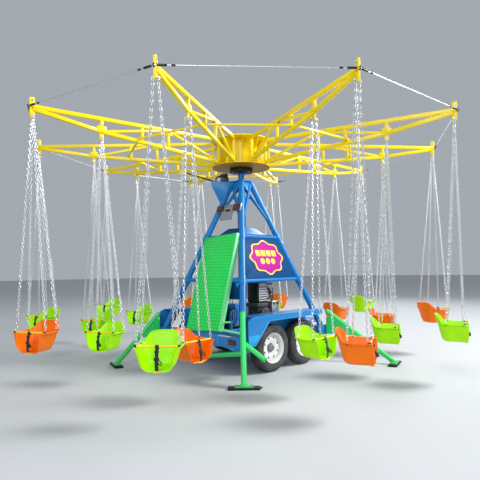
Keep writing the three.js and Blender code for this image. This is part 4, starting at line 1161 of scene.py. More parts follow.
def crotch_strap():
    """Webbing from round the lap bar down to the floor's lip, with a buckle and a loop."""
    (bar_x, bar_z), around_bar = LAP_BAR, 0.0135
    path = [(bar_x - around_bar, bar_z - 0.03)]
    for step in range(7):
        angle = math.pi - step * math.pi / 6
        path.append((bar_x + around_bar * math.cos(angle), bar_z + around_bar * math.sin(angle)))
    path += [(0.136, 0.208), (0.146, 0.17), (0.155, 0.11), (0.159, 0.055), (0.153, 0.015)]
    path += [(0.139, -0.004), (0.118, -0.008)]
    line = drawn([(x, -0.0175, z) for x, z in path])
    bpy.ops.mesh.extrude_region_move(TRANSFORM_OT_translate={"value": (0, 0.035, 0)})
    bpy.ops.object.mode_set(mode="OBJECT")
    strap = smooth(modify(line, "SOLIDIFY", thickness=0.003, offset=0.0), 60)
    deselect()
    bpy.ops.mesh.primitive_cylinder_add(
        vertices=20, radius=0.030, depth=0.022, end_fill_type="NOTHING"
    )
    loop = bpy.context.object
    loop.scale = (0.45, 1.0, 1.0)
    loop.rotation_euler = (math.radians(90), math.radians(-38), math.radians(80))
    loop.location = (0.166, 0.030, 0.086)
    set_down(loop)
    loop = smooth(modify(loop, "SOLIDIFY", thickness=0.003, offset=0.0), 60)
    buckle = block((0.148, -0.026, 0.100), (0.162, 0.026, 0.134), 0.004)
    slider = block((0.134, -0.024, 0.178), (0.150, 0.024, 0.196), 0.004)
    return joined([strap, loop, buckle, slider])


class RIDE_OT_seats(RideOperator, bpy.types.Operator):
    """Twenty bucket seats with lap bars, straps, hooks and four link chains each"""

    bl_idname = "swing_ride.seats"
    bl_label = "Bucket Seats"

    def chain(self, sizes, length):
        """One straight chain of whole links that hangs from the origin."""
        half_width = (sizes.chain_width - sizes.chain_wire) / 2
        deselect()
        bpy.ops.mesh.primitive_torus_add(
            major_segments=6,
            minor_segments=4,
            major_radius=half_width,
            minor_radius=sizes.chain_wire / 2,
            rotation=(math.pi / 2, math.radians(30), 0),
        )
        link = set_down(bpy.context.object)
        stretch = sizes.chain_pitch / 2 + sizes.chain_wire / 2 - half_width
        with editing(link):
            for side in (-1, 1):
                pick(link, "VERT", lambda co, v: side * co.z > 0.0005)
                bpy.ops.transform.translate(value=(0, 0, side * stretch))
        drop = Matrix.Translation((0, 0, -sizes.chain_pitch))
        pair = joined([link, copy_of(link, drop @ around(math.pi / 2))])
        pairs = round(length / (2 * sizes.chain_pitch))
        modify(
            pair,
            "ARRAY",
            count=pairs,
            use_relative_offset=False,
            use_constant_offset=True,
            constant_offset_displace=(0, 0, -2 * sizes.chain_pitch),
        )
        return smooth(pair, 70), pairs * 2 * sizes.chain_pitch

    def seat_iron(self):
        """The eye bolts on the ears and the caps on the bar's ends."""
        parts = []
        for side in (-1, 1):
            for x in CHAIN_X:
                y = side * CHAIN_SIDE
                parts.append(bolt((x, y, EAR_Z + 0.004), (0, 0, 1), 0.009))
                parts.append(bolt((x, y, EAR_Z - 0.006), (0, 0, -1), 0.009))
            inner, outer = [(LAP_BAR[0], side * y, LAP_BAR[1]) for y in (0.200, 0.228)]
            parts.append(rod(inner, outer, 0.0135, 16))
        return joined(parts)

    def hung(self, chain, chain_length, turn, radius, pin_z, place):
        """A seat's four chains, the rings that they hang from, and the pin with its heads."""
        outward, across = [turn.to_3x3() @ Vector(way) for way in ((1, 0, 0), (0, 1, 0))]
        parts = []
        for side in (-1, 1):
            top = turn @ Vector((radius, side * CHAIN_OFFSET, pin_z - 0.012))
            parts.append(ring(top, outward, 0.017, 0.005))
            for x in CHAIN_X:
                hook = place @ Vector((x, side * CHAIN_SIDE, EAR_Z + 0.012))
                run = top + Vector((0, 0, -0.012)) - hook
                turn_up = run.to_track_quat("Z", "Y").to_matrix().to_4x4()
                fitted = Matrix.Diagonal((1, 1, run.length / chain_length, 1))
                start = Matrix.Translation(hook + run)
                parts.append(copy_of(chain, start @ turn_up @ fitted))
        pin = turn @ Vector((radius, 0, pin_z))
        parts.append(rod(pin - across * 0.036, pin + across * 0.036, 0.0078, 16))
        parts.append(bolt(pin + across * 0.034, across, 0.010))
        parts.append(bolt(pin - across * 0.034, -across, 0.010))
        return joined(parts)

    def execute(self, context):
        finish = self.finishes(context)
        sizes = context.scene.swing_ride_sizes
        bucket = bucket_shell(sizes.bucket_wall, sizes.rim_bead)
        ends = [(LAP_BAR[0], y, LAP_BAR[1]) for y in (-LAP_BAR_REACH, LAP_BAR_REACH)]
        bar = tube(*ends, 0.011, 16)
        tab = sheet_metal(
            [
                (0.132, -0.045, -0.004),
                (0.132, 0.045, -0.004),
                (0.168, 0.034, -0.013),
                (0.168, -0.034, -0.013),
            ],
            (0, 0, 0.005),
        )
        bar = paint(joined([bar, tab]), finish["bar"])
        strap = paint(crotch_strap(), finish["strap"])
        iron = paint(self.seat_iron(), finish["black"])
        chain, chain_length = self.chain(sizes, CHAIN_LENGTH)
        for ring_name, radius, pin_z, seat_z, index in (
            ("outer", TIP_RADIUS, OUTER_PIN_Z, OUTER_SEAT_Z, 0),
            ("inner", MID_RADIUS, INNER_PIN_Z, INNER_SEAT_Z, 1),
        ):
            for k, pair in enumerate(SEATS):
                turn, plastic = pair[index]
                body = f"{ring_name}_seat_{k}"
                place = (
                    arm_turn(k)
                    @ Matrix.Translation((radius, 0, seat_z))
                    @ around(math.radians(turn))
                )
                shell = paint(copy_of(bucket, place), finish[plastic])
                fit(shell, f"{ring_name}_bucket_{k}", body, [body])
                fit(copy_of(bar, place), f"{ring_name}_lap_bar_{k}", body)
                fit(copy_of(strap, place), f"{ring_name}_strap_{k}", body)
                fit(copy_of(iron, place), f"{ring_name}_seat_iron_{k}", body)
                hung = self.hung(chain, chain_length, arm_turn(k), radius, pin_z, place)
                fit(
                    paint(hung, finish["zinc"]), f"{ring_name}_chains_{k}", body,
                )
        discard(bucket, bar, strap, iron, chain)
        return {"FINISHED"}


class RIDE_OT_tower(RideOperator, bpy.types.Operator):
    """Legs, rails with their collars, braces, head and mast"""

    bl_idname = "swing_ride.tower"
    bl_label = "Tower"

    def execute(self, context):
        finish = self.finishes(context)
        for corner, (x, y) in CORNERS.items():
            foot, top = leg_point(corner, DECK_Z + 0.010), leg_point(corner, 2.9377)
            xs, ys = [sorted(way * edge for edge in LEG_PLATE) for way in (x, y)]
            plate = block((xs[0], ys[0], DECK_Z + GAP), (xs[1], ys[1], DECK_Z + 0.0125), 0.003)
            leg = joined([tube(foot, top, LEG_RADIUS, 40), plate])
            fit(paint(leg, finish["blue"]), f"leg_tube_{corner}", "base",
                [f"leg_{corner}"])
        for name, z in (("lower", LOWER_RING), ("upper", UPPER_RING)):
            parts = []
            corners = list(CORNERS)
            for k, corner in enumerate(corners):
                here, there = leg_point(corner, z), leg_point(corners[(k + 1) % 4], z)
                inset = (there - here).normalized() * 0.04
                parts.append(tube(here + inset, there - inset, RAIL_RADIUS, 32))
                # The collar that clamps the rails to the leg
                low, high = leg_point(corner, z - 0.055), leg_point(corner, z + 0.055)
                parts.append(tube(low, high, 0.0555, 40, 0.008))
            fit(paint(joined(parts), finish["blue"]), f"{name}_ring_rails", "base",
                [f"{name}_rails"])
        self.head(finish)
        mast = turned(
            [
                (0, MAST_FOOT_Z), (0.074, MAST_FOOT_Z), (0.074, 1.050), (MAST_RADIUS, 1.054),
                (MAST_RADIUS, 2.700), (0.052, 2.740), (0.052, MAST_TOP), (0, MAST_TOP),
            ],
            48,
        )
        fit(paint(mast, finish["blue"]), "mast_tube", "base", ["mast"])
        lift = turned(
            [
                (0, DECK_Z + GAP), (0.110, DECK_Z + GAP), (0.110, 0.575), (0.074, 0.580),
                (0.070, 0.590), (0.070, 0.960), (0.073, 0.964), (0.073, 0.990),
                (0.060, 0.996), (0.060, 1.022), (0, 1.022),
            ],
            48,
        )
        fit(paint(lift, finish["polished"]), "lift_cylinder", "base")
        return {"FINISHED"}

    def head(self, finish):
        """The head's plate and skirt, its braces and gussets, the drive's bracket, the bolts."""
        top = HEAD_TOP - 0.006
        half, skirt = HEAD_HALF, HEAD_SKIRT_HALF
        parts = [block((-half, -half, HEAD_TOP - 0.012), (half, half, HEAD_TOP), 0.003)]
        frame_box = block((-skirt, -skirt, HEAD_BOTTOM), (skirt, skirt, HEAD_TOP - 0.011), 0.004)
        with editing(frame_box):
            pick(frame_box, "FACE", lambda middle, face: face.normal.z < -0.95)
            bpy.ops.mesh.inset(thickness=0.008)
            bpy.ops.mesh.extrude_region_shrink_fatten(
                TRANSFORM_OT_shrink_fatten={"value": -0.060}
            )
        parts.append(frame_box)
        for quarter in range(4):
            face = []
            for side in (-1, 1):
                strong = quarter % 2 == 1 and side == 1
                start = (-leg_half(2.2), side * leg_half(2.2), 2.2)
                end = (-leg_half(top), -side * 0.118, top)
                face.append(tube(start, end, 0.0245 if strong else 0.0175, 20))
            x, rise = -leg_half(top) - 0.004, 0.275
            slope = leg_half(top - rise) - leg_half(top)
            gusset = [(x, -0.080, top), (x, 0.080, top), (x - slope, 0.0, top - rise)]
            face.append(sheet_metal(gusset, (0.008, 0, 0)))
            parts.append(moved(joined(face), around(quarter * math.pi / 2)))
        outline = [
            (HEAD_HALF, HEAD_TOP), (BRACKET_END, HEAD_TOP), (BRACKET_END, 2.885),
            (0.340, 2.570), (0.295, 2.570),
        ]
        bracket = []
        for side in (-1, 1):
            y = side * 0.075
            bracket.append(
                sheet_metal([(x, y, z) for x, z in outline], (0, -side * 0.010, 0), 0.002)
            )
        bracket.append(
            block((0.132, -0.075, HEAD_TOP - 0.012), (BRACKET_END, 0.075, HEAD_TOP), 0.003)
        )
        bracket.append(
            block((BRACKET_END - 0.010, -0.070, 2.885), (BRACKET_END, 0.070, 2.945), 0.003)
        )
        parts.append(moved(joined(bracket), around(DIAGONAL)))
        fit(paint(joined(parts), finish["blue"]), "head_frame", "base",
            ["tower_head"])
        bolts = []
        for x, y in CORNERS.values():
            for dx, dy in ((0.132, 0.050), (0.050, 0.132)):
                bolts.append(bolt((x * dx, y * dy, HEAD_TOP), (0, 0, 1), 0.010))
        for x, y in CORNERS.values():
            for dx, dy in ((0.859, 0.958), (0.958, 0.859)):
                bolts.append(bolt((x * dx, y * dy, DECK_Z + 0.0123), (0, 0, 1), 0.010))
        fit(paint(joined(bolts), finish["plated"]), "tower_bolts", "base")


class RIDE_OT_drive(RideOperator, bpy.types.Operator):
    """The slewing ring and the hydraulic drive motor on its bracket"""

    bl_idname = "swing_ride.drive"
    bl_label = "Drive"

    def execute(self, context):
        finish = self.finishes(context)
        foot = MAST_TOP + GAP
        bearing = turned(
            [
                (0, foot), (0.112, foot), (0.112, 3.098), (0.186, 3.098), (0.190, 3.102),
                (0.190, 3.126), (0.184, 3.128), (0.184, 3.134), (0.190, 3.136),
                (0.190, 3.161), (0.186, 3.1647), (0.060, 3.1647), (0.060, 3.260), (0, 3.260),
            ],
            64,
        )
        parts = [bearing]
        # Bolt heads under the outer flange
        for k in range(16):
            angle = k * math.pi / 8
            place = Vector((0.165 * math.cos(angle), 0.165 * math.sin(angle), 3.098))
            parts.append(bolt(place, (0, 0, -1), 0.010))
        fit(paint(joined(parts), finish["black"]), "slewing_bearing", "base",
            ["slewing_ring"])
        base, reach = HEAD_TOP + GAP, MOTOR_REACH
        gearbox = block(
            (reach - 0.065, -0.060, base), (reach + 0.065, 0.060, base + 0.060), 0.008, 3
        )
        motor = turned(
            [
                (0, base), (0.048, base), (0.048, base + 0.062), (0.044, base + 0.066),
                (0.044, base + 0.076), (0.048, base + 0.080), (0.048, base + 0.122),
                (0.040, base + 0.130), (0, base + 0.130),
            ],
            32,
        )
        motor = moved(motor, Matrix.Translation((reach, 0, 0)))
        drum_z = base + 0.090
        drum = rod((reach - 0.055, 0, drum_z), (reach + 0.075, 0, drum_z), 0.034, 28)
        lines = (-0.018, 0.018)
        ports = [
            rod((reach + 0.070, y, drum_z), (reach + 0.095, y, drum_z), 0.010) for y in lines
        ]
        foot = block((reach, -0.015, base), (0.470, 0.015, base + 0.008), 0.002)
        pointer = rod((0.458, 0, base + 0.012), (0.915, 0, 3.107), 0.012, 16)
        unit = moved(joined([gearbox, motor, drum, *ports, foot, pointer]), around(DIAGONAL))
        fit(paint(unit, finish["black"]), "hydraulic_motor", "base",
            ["drive_motor"])
        hoses = []
        for y in lines:
            bend = [
                (reach + 0.090 + 0.055 * math.sin(a), y, drum_z - 0.055 + 0.055 * math.cos(a))
                for a in (k * math.pi / 16 for k in range(9))
            ]
            hoses.append(pipe([*bend, (0.420, y * 2.6, 2.957)], 0.009))
        fit(paint(moved(joined(hoses), around(DIAGONAL)), finish["rubber"]), "motor_hoses",
            "base")
        bolts = [
            bolt((reach + x, y, base + 0.060), (0, 0, 1), 0.008)
            for x in (-0.052, 0.052)
            for y in (-0.047, 0.047)
        ]
        fit(paint(moved(joined(bolts), around(DIAGONAL)), finish["plated"]), "motor_bolts",
            "base")
        return {"FINISHED"}


class RIDE_OT_panels(RideOperator, bpy.types.Operator):
    """The sign between the right rails with its plain painted design, the hood, the rear sheet"""

    bl_idname = "swing_ride.panels"
    bl_label = "Sign and Hood"

    def execute(self, context):
        finish = self.finishes(context)
        sign = dressed("sign_panel", 0.002)
        fit(paint(sign, finish["dark_blue"]), "sign_sheet", "base",
            ["sign_panel"])
        face = lambda obj: on_face(obj, LOWER_RING, SIGN_OUTSET, 0)
        middle = Matrix.Translation((0.0, 0, SIGN_MIDDLE))
        shape = moved(self.rosette(0.268, 0.0030), middle)
        fit(paint(face(shape), finish["magenta"]), "sign_rosette", "base")
        marks = [self.rosette(0.290, 0.0018)]
        for x in (-0.180, -0.060, 0.060, 0.180):
            marks.append(block((x - 0.049, -0.0050, 0.018), (x + 0.049, -0.0028, 0.116), 0.001))
        for x in (-0.120, 0.0, 0.120):
            dot = turned([(0, 0), (0.048, 0), (0.048, 0.002), (0, 0.002)], 32)
            turn = Matrix.Translation((x, -0.0028, -0.065)) @ Matrix.Rotation(math.pi / 2, 4, "X")
            marks.append(moved(dot, turn))
        marks = face(moved(joined(marks), middle))
        fit(paint(marks, finish["sign_yellow"]), "sign_marks", "base")
        hood = paint(dressed("hood", 0.003), finish["dark_blue"])
        # The faces turned to -Y, towards the light, are painted a lighter blue than the rest of the
        # cover: painted light
        repaint(hood, finish["blue"], lambda middle, face: face.normal.y < -0.3)
        fit(hood, "hood_cover", "base", ["hood"])
        rear = dressed("rear_panel", 0.002)
        fit(paint(rear, finish["dark_blue"]), "rear_sheet", "base",
            ["rear_panel"])
        x = -leg_half(LOWER_RING) - 0.004
        web = sheet_metal(
            [(x, -0.575, 1.305), (x, -0.500, 1.305), (x, -0.5375, 1.235)], (-0.005, 0, 0)
        )
        fit(paint(web, finish["light_blue"]), "rear_sheet_web", "base")
        return {"FINISHED"}

    def rosette(self, radius, thickness):
        """A flat plate with eight round lobes, wider than high, standing off the sign's face."""
        outline = []
        for step in range(96):
            angle = step * math.tau / 96
            reach = radius * (0.93 + 0.07 * math.cos(8 * angle))
            outline.append((1.34 * reach * math.cos(angle), -GAP, reach * math.sin(angle)))
        return sheet_metal(outline, (0, -thickness, 0), 0)


class RIDE_OT_ramp(RideOperator, bpy.types.Operator):
    """The boarding ramp of tread plate, stowed upright on the rear face"""

    bl_idname = "swing_ride.ramp"
    bl_label = "Boarding Ramp"

    def execute(self, context):
        finish = self.finishes(context)
        ramp = dressed("boarding_ramp", 0.004)
        fit(paint(ramp, finish["ramp"]), "ramp_plate", "base",
            ["boarding_ramp"])
        tilt = Matrix.Translation((-RAMP_CENTRE_Y, 0, 0)) @ Matrix.Rotation(-RAMP_TILT, 4, "Y")
        outset = RAIL_RADIUS * math.cos(FACE_LEAN) + GAP
        half, front = RAMP_WIDTH / 2, -RAMP_DEPTH
        lay = lambda pieces: on_face(moved(joined(pieces), tilt), RAMP_FOOT_Z, outset, -1)
        # The right rim is painted the paler green as a painted highlight of its lit edge; the same
        # rims on the left and at the ends stay plain green
        rims = [
            block((half - 0.024, front - 0.005, 0.0), (half, front + 0.001, RAMP_LENGTH), 0.002),
            block((half - 0.001, front, 0.0), (half + 0.003, 0.0, RAMP_LENGTH), 0.0015),
        ]
        fit(paint(lay(rims), finish["highlight_green"]), "ramp_flange", "base")
        rims = [block((-half, front - 0.005, 0), (0.018 - half, front + 0.001, RAMP_LENGTH), 0.002)]
        for z in (0.0, RAMP_LENGTH - 0.014):
            rims.append(block((-half, front - 0.004, z), (half - 0.024, front, z + 0.014), 0.0015))
        fit(paint(lay(rims), finish["green"]), "ramp_rims", "base")
        # The stays carry the paler green too: painted highlight
        bars = [
            rod((-0.922, -0.490, 0.640), (-0.905, -0.850, 0.622), 0.018, 20),
            rod((-0.890, -0.480, 0.745), (-0.880, -0.630, 0.760), 0.014, 20),
        ]
        fit(paint(joined(bars), finish["highlight_green"]), "ramp_stays", "base")
        return {"FINISHED"}


class RIDE_OT_light_bar(RideOperator, bpy.types.Operator):
    """The tail light bar across the rear legs, with two lamps and a plate bracket"""

    bl_idname = "swing_ride.light_bar"
    bl_label = "Light Bar"

    def execute(self, context):
        finish = self.finishes(context)
        bar = dressed("light_bar", 0.002)
        fit(paint(bar, finish["alloy"]), "light_bar_board", "base",
            ["light_bar"])
        surrounds, lenses = [], []
        for x in (-0.155, 0.225):
            surround = block((x - 0.078, -0.042, -0.050), (x + 0.078, -0.0302, 0.050), 0.003)
            with editing(surround):
                pick(surround, "FACE", lambda middle, face: face.normal.y < -0.95)
                bpy.ops.mesh.inset(thickness=0.008)
                bpy.ops.mesh.extrude_region_shrink_fatten(
                    TRANSFORM_OT_shrink_fatten={"value": -0.007}
                )
            surrounds.append(surround)
            lenses.append(
                block((x - 0.067, -0.044, -0.039), (x + 0.067, -0.034, 0.039), 0.005, 3)
            )
        face = lambda obj: on_face(obj, LIGHT_BAR_Z, LEG_RADIUS + GAP, -1)
        fit(paint(face(joined(surrounds)), finish["black"]), "lamp_frames", "base")
        fit(paint(face(joined(lenses)), finish["red_lens"]), "tail_lenses", "base")
        lamp = [block((-0.015, -0.052, -0.055), (0.085, -0.0302, -0.030), 0.004)]
        lamp += [bolt((x, -0.030, 0.030), (0, -1, 0), 0.007) for x in (-0.025, 0.095)]
        lamp += [
            bolt((x, -0.030, z), (0, -1, 0), 0.006)
            for x in (-0.075, 0.145)
            for z in (-0.085, -0.185)
        ]
        fit(paint(face(joined(lamp)), finish["black"]), "plate_lamp", "base")
        return {"FINISHED"}


class RIDE_OT_trailer(RideOperator, bpy.types.Operator):
    """The trailer frame with its deck, skirts and lamps"""

    bl_idname = "swing_ride.trailer"
    bl_label = "Trailer"

    def execute(self, context):
        finish = self.finishes(context)
        body = dressed("chassis", 0.004)
        fit(paint(body, finish["blue"]), "trailer_frame", "base", ["chassis"])
        x, y = DECK_HALF
        deck = block((-x, -y, DECK_Z), (x, y, DECK_Z + 0.0040), 0.0015)
        with editing(deck):
            pick(deck, "FACE", lambda middle, face: face.normal.z > 0.9)
            bpy.ops.mesh.inset(thickness=0.01)
        fit(paint(deck, finish["deck"]), "deck_plate", "base")
        # Under the ends of both end beams hangs a web with a curved foot and a stiffener
        curve = [(-0.52 - 0.0286 * k, 0.411 - 0.0405 * (k / 10) ** 2) for k in range(11)]
        web = sheet_metal(
            [(-0.985, y, z) for y, z in [(-0.52, WEB_TOP), *curve, (-0.806, WEB_TOP)]],
            (0.010, 0, 0),
        )
        stiffener = block((-0.992, -0.475, 0.412), (-0.9845, -0.461, 0.561), 0.002)
        corner = joined([web, stiffener])
        corners = [
            copy_of(corner, Matrix.Diagonal((x, y, 1, 1))) for x in (1, -1) for y in (1, -1)
        ]
        discard(corner)
        beams = recalculate(joined(corners))
        fit(paint(beams, finish["light_blue"]), "end_beam_webs", "base")
        bezel = block((-0.9915, -0.835, 0.455), (-0.9848, -0.680, 0.535), 0.003)
        bezels = [bezel, copy_of(bezel, MIRROR_Y)]
        fit(paint(recalculate(joined(bezels)), finish["rubber"]), "tail_lamp_bezels", "base")
        lamp = block((-1.000, -0.826, 0.464), (-0.990, -0.689, 0.526), 0.004, 3)
        lamps = [lamp, copy_of(lamp, MIRROR_Y)]
        fit(paint(recalculate(joined(lamps)), finish["red_lens"]), "tail_lamps", "base")
        # A white strip along the top of the deck's rear edge: a painted highlight where the edge
        # catches the light
        strip = block((-0.978, -0.690, 0.560), (-0.925, -0.450, 0.570), 0.003)
        fit(paint(strip, finish["white"]), "deck_edge_highlight", "base")
        return {"FINISHED"}


class RIDE_OT_wheels(RideOperator, bpy.types.Operator):
    """Four trailer wheels: grooved tyres on white steel rims with round holes"""

    bl_idname = "swing_ride.wheels"
    bl_label = "Wheels"

    def tyre(self):
        """The tyre's section, the same on both sides of three grooves, spun round."""
        wall = [
            (0.212, -0.070), (0.222, -0.082), (0.236, -0.090), (0.262, -0.0945), (0.275, -0.0935),
            (0.280, -0.0955), (0.295, -0.0945), (0.318, -0.090), (0.334, -0.080), (0.342, -0.070),
        ]
        grooves = [
            (radius, z + side)
            for z in (-0.050, 0.0, 0.050)
            for radius, side in ((0.345, -0.006), (0.336, -0.005), (0.336, 0.005), (0.345, 0.006))
        ]
        other_wall = [(radius, -z) for radius, z in reversed(wall)]
        return turned([*wall, *grooves, *other_wall, wall[0]], 72)

    def rim(self):
        """The rim's well and its dished disc with eight round holes."""
        well = turned(
            [
                (0.216, 0.074), (0.224, 0.086), (0.221, 0.089), (0.213, 0.084), (0.207, 0.070),
                (0.200, 0.040), (0.198, -0.060), (0.206, -0.074), (0.216, -0.074),
                (0.216, 0.074),
            ],
            64,
        )
        disc = turned(
            [
                (0.200, 0.012), (0.190, 0.022), (0.150, 0.034), (0.110, 0.030), (0.075, 0.012),
                (0.040, 0.012), (0.040, 0.004), (0.072, 0.004), (0.108, 0.022), (0.150, 0.026),
                (0.188, 0.014), (0.200, 0.004), (0.200, 0.012),
            ],
            64,
        )
        cutters = []
        for k in range(8):
            angle = (k + 0.5) * math.pi / 4
            place = Vector((0.150 * math.cos(angle), 0.150 * math.sin(angle), 0))
            cutters.append(rod(place - Vector((0, 0, 0.02)), place + Vector((0, 0, 0.06)),
                               0.0185, 20))
        cutter = joined(cutters)
        modify(disc, "BOOLEAN", object=cutter, operation="DIFFERENCE", solver="EXACT")
        discard(cutter)
        return joined([well, smooth(disc, 30)])

    def hub(self):
        """The hub cap with five wheel nuts."""
        cap = turned(
            [
                (0, 0.004), (0.066, 0.004), (0.066, 0.016), (0.046, 0.018), (0.042, 0.024),
                (0.040, 0.058), (0.034, 0.064), (0, 0.065),
            ],
            32,
        )
        nuts = []
        for k in range(5):
            angle = k * math.tau / 5
            place = Vector((0.057 * math.cos(angle), 0.057 * math.sin(angle), 0.014))
            nuts.append(bolt(place, (0, 0, 1), 0.0105))
        return joined([cap, *nuts])

    def execute(self, context):
        finish = self.finishes(context)
        masters = {
            "tyre": (self.tyre(), "tyre", "tyre_rubber"),
            "rim": (self.rim(), "white", "grey_plate"),
            "hub_cap": (self.hub(), "hub_grey", "galvanised_steel"),
            "brake_drum": (
                turned([(0.026, -0.060), (0.120, -0.060), (0.125, -0.050), (0.125, -0.004),
                        (0.118, 0.002), (0.026, 0.002), (0.026, -0.060)], 32),
                "iron",
                "black_paint",
            ),
        }
        for end, x in WHEEL_X.items():
            for side, hand in SIDES:
                place = Matrix.Translation((x, hand * WHEEL_Y, WHEEL_Z)) @ Matrix.Rotation(
                    -hand * math.pi / 2, 4, "X"
                )
                body = f"wheel_{end}_{side}"
                for name, (master, colour, slot) in masters.items():
                    piece = paint(copy_of(master, place), finish[colour])
                    stands_for = [body] if name == "tyre" else []
                    fit(piece, f"{name}_{end}_{side}", body, stands_for)
        discard(*[master for master, _, _ in masters.values()])
        return {"FINISHED"}


class RIDE_OT_mudguards(RideOperator, bpy.types.Operator):
    """The mudguards over the wheels, with their skirts and ribs"""

    bl_idname = "swing_ride.mudguards"
    bl_label = "Mudguards"

    def execute(self, context):
        finish = self.finishes(context)
        for side, hand in SIDES:
            guard = dressed(f"mudguard_{side}", 0.002)
            fit(paint(guard, finish["blue"]), f"fender_{side}", "base",
                [f"mudguard_{side}"])
            wall = -GUARD_OUTER - 0.0002
            # A slanting strip, the plate at the rear, the strip along the top, which is a painted
            # highlight of the guard's top edge, and three ribs
            trim = [
                sheet_metal(
                    [(x, wall, z) for x, z in outline], (0, -thickness, 0), 0.001
                )
                for thickness, outline in (
                    (0.004, ((-0.800, 0.450), (-0.500, 0.770), (-0.536, 0.770), (-0.838, 0.450))),
                    (0.002, ((-0.938, 0.452), (-0.840, 0.452), (-0.702, 0.600), (-0.938, 0.600))),
                    (0.003, ((-0.500, 0.770), (0.774, 0.770), (0.774, 0.779), (-0.508, 0.779))),
                )
            ]
            trim += [
                block((x - 0.005, wall - 0.005, 0.462), (x + 0.005, wall, 0.592), 0.0015)
                for x in (-0.900, -0.862, -0.824)
            ]
            trim = joined(trim)
            if hand > 0:
                trim = recalculate(moved(trim, MIRROR_Y))
            fit(paint(trim, finish["light_blue"]), f"fender_trim_{side}", "base")
        return {"FINISHED"}


class RIDE_OT_outriggers(RideOperator, bpy.types.Operator):
    """Four green outriggers with flat feet on black planks"""

    bl_idname = "swing_ride.outriggers"
    bl_label = "Outriggers"

    def execute(self, context):
        finish = self.finishes(context)
        for corner, (foot, top_z) in OUTRIGGERS.items():
            x, y = CORNERS[corner]
            root = Vector((x * 0.985, y * 0.975, 0))
            run = Vector((*foot, 0)) - root
            length = run.length
            place = Matrix.Translation(root) @ around(math.atan2(run.y, run.x))
            along = lambda z: length * (top_z - z) / (top_z - FOOT_TOP)
            parts = [tube((0, 0, top_z), (length, 0, FOOT_TOP - 0.010), 0.038, 36)]
            # Two sheets fill the corner under the tube and stand on a plate at the trailer
            for side in (-1, 1):
                web = [
                    (x, side * 0.030, z)
                    for x, z in (
                        (0.001, 0.420), (along(0.420), 0.420), (along(0.700), 0.700), (0.005, 0.700)
                    )
                ]
                parts.append(sheet_metal(web, (0, -side * 0.008, 0), 0.002))
            parts.append(block((0.0005, -0.030, 0.420), (0.012, 0.030, 0.700), 0.002))
            # The flat foot with the socket of the tube
            parts.append(
                block((length - 0.048, -0.120, 0.0275), (length + 0.048, 0.120, FOOT_TOP))
            )
            socket = turned(
                [(0, 0.041), (0.054, 0.041), (0.048, 0.062), (0.038, 0.066), (0, 0.066)]
            )
            parts.append(moved(socket, Matrix.Translation((length, 0, 0))))
            if corner == "rear_right":
                back = place.inverted()
                for start, end in FOLDED_STRUTS:
                    ends = back @ Vector(start), back @ Vector(end)
                    parts.append(tube(*ends, FOLDED_RADIUS, 28))
            strut = moved(joined(parts), place)
            fit(paint(strut, finish["green"]), f"outrigger_strut_{corner}", "base",
                [f"outrigger_{corner}"])
            pad = block((length - 0.065, -0.205, 0), (length + 0.065, 0.205, 0.028), 0.005, 3)
            handle = ring((length, 0.211, 0.016), (0, 0, 1), 0.020, 0.005)
            pad = moved(joined([pad, handle]), place)
            fit(paint(pad, finish["rubber"]), f"foot_pad_{corner}", "base")
            bolts = [
                bolt((length + x, y, FOOT_TOP), (0, 0, 1), 0.008)
                for x in (-0.030, 0.030)
                for y in (-0.098, 0.098)
            ]
            bolts.append(bolt((along(0.55) * 0.5, 0.030, 0.60), (0, 1, 0), 0.013))
            bolts.append(bolt((along(0.55) * 0.5, -0.030, 0.60), (0, -1, 0), 0.013))
            fit(paint(moved(joined(bolts), place), finish["plated"]),
                f"outrigger_bolts_{corner}", "base")
        return {"FINISHED"}


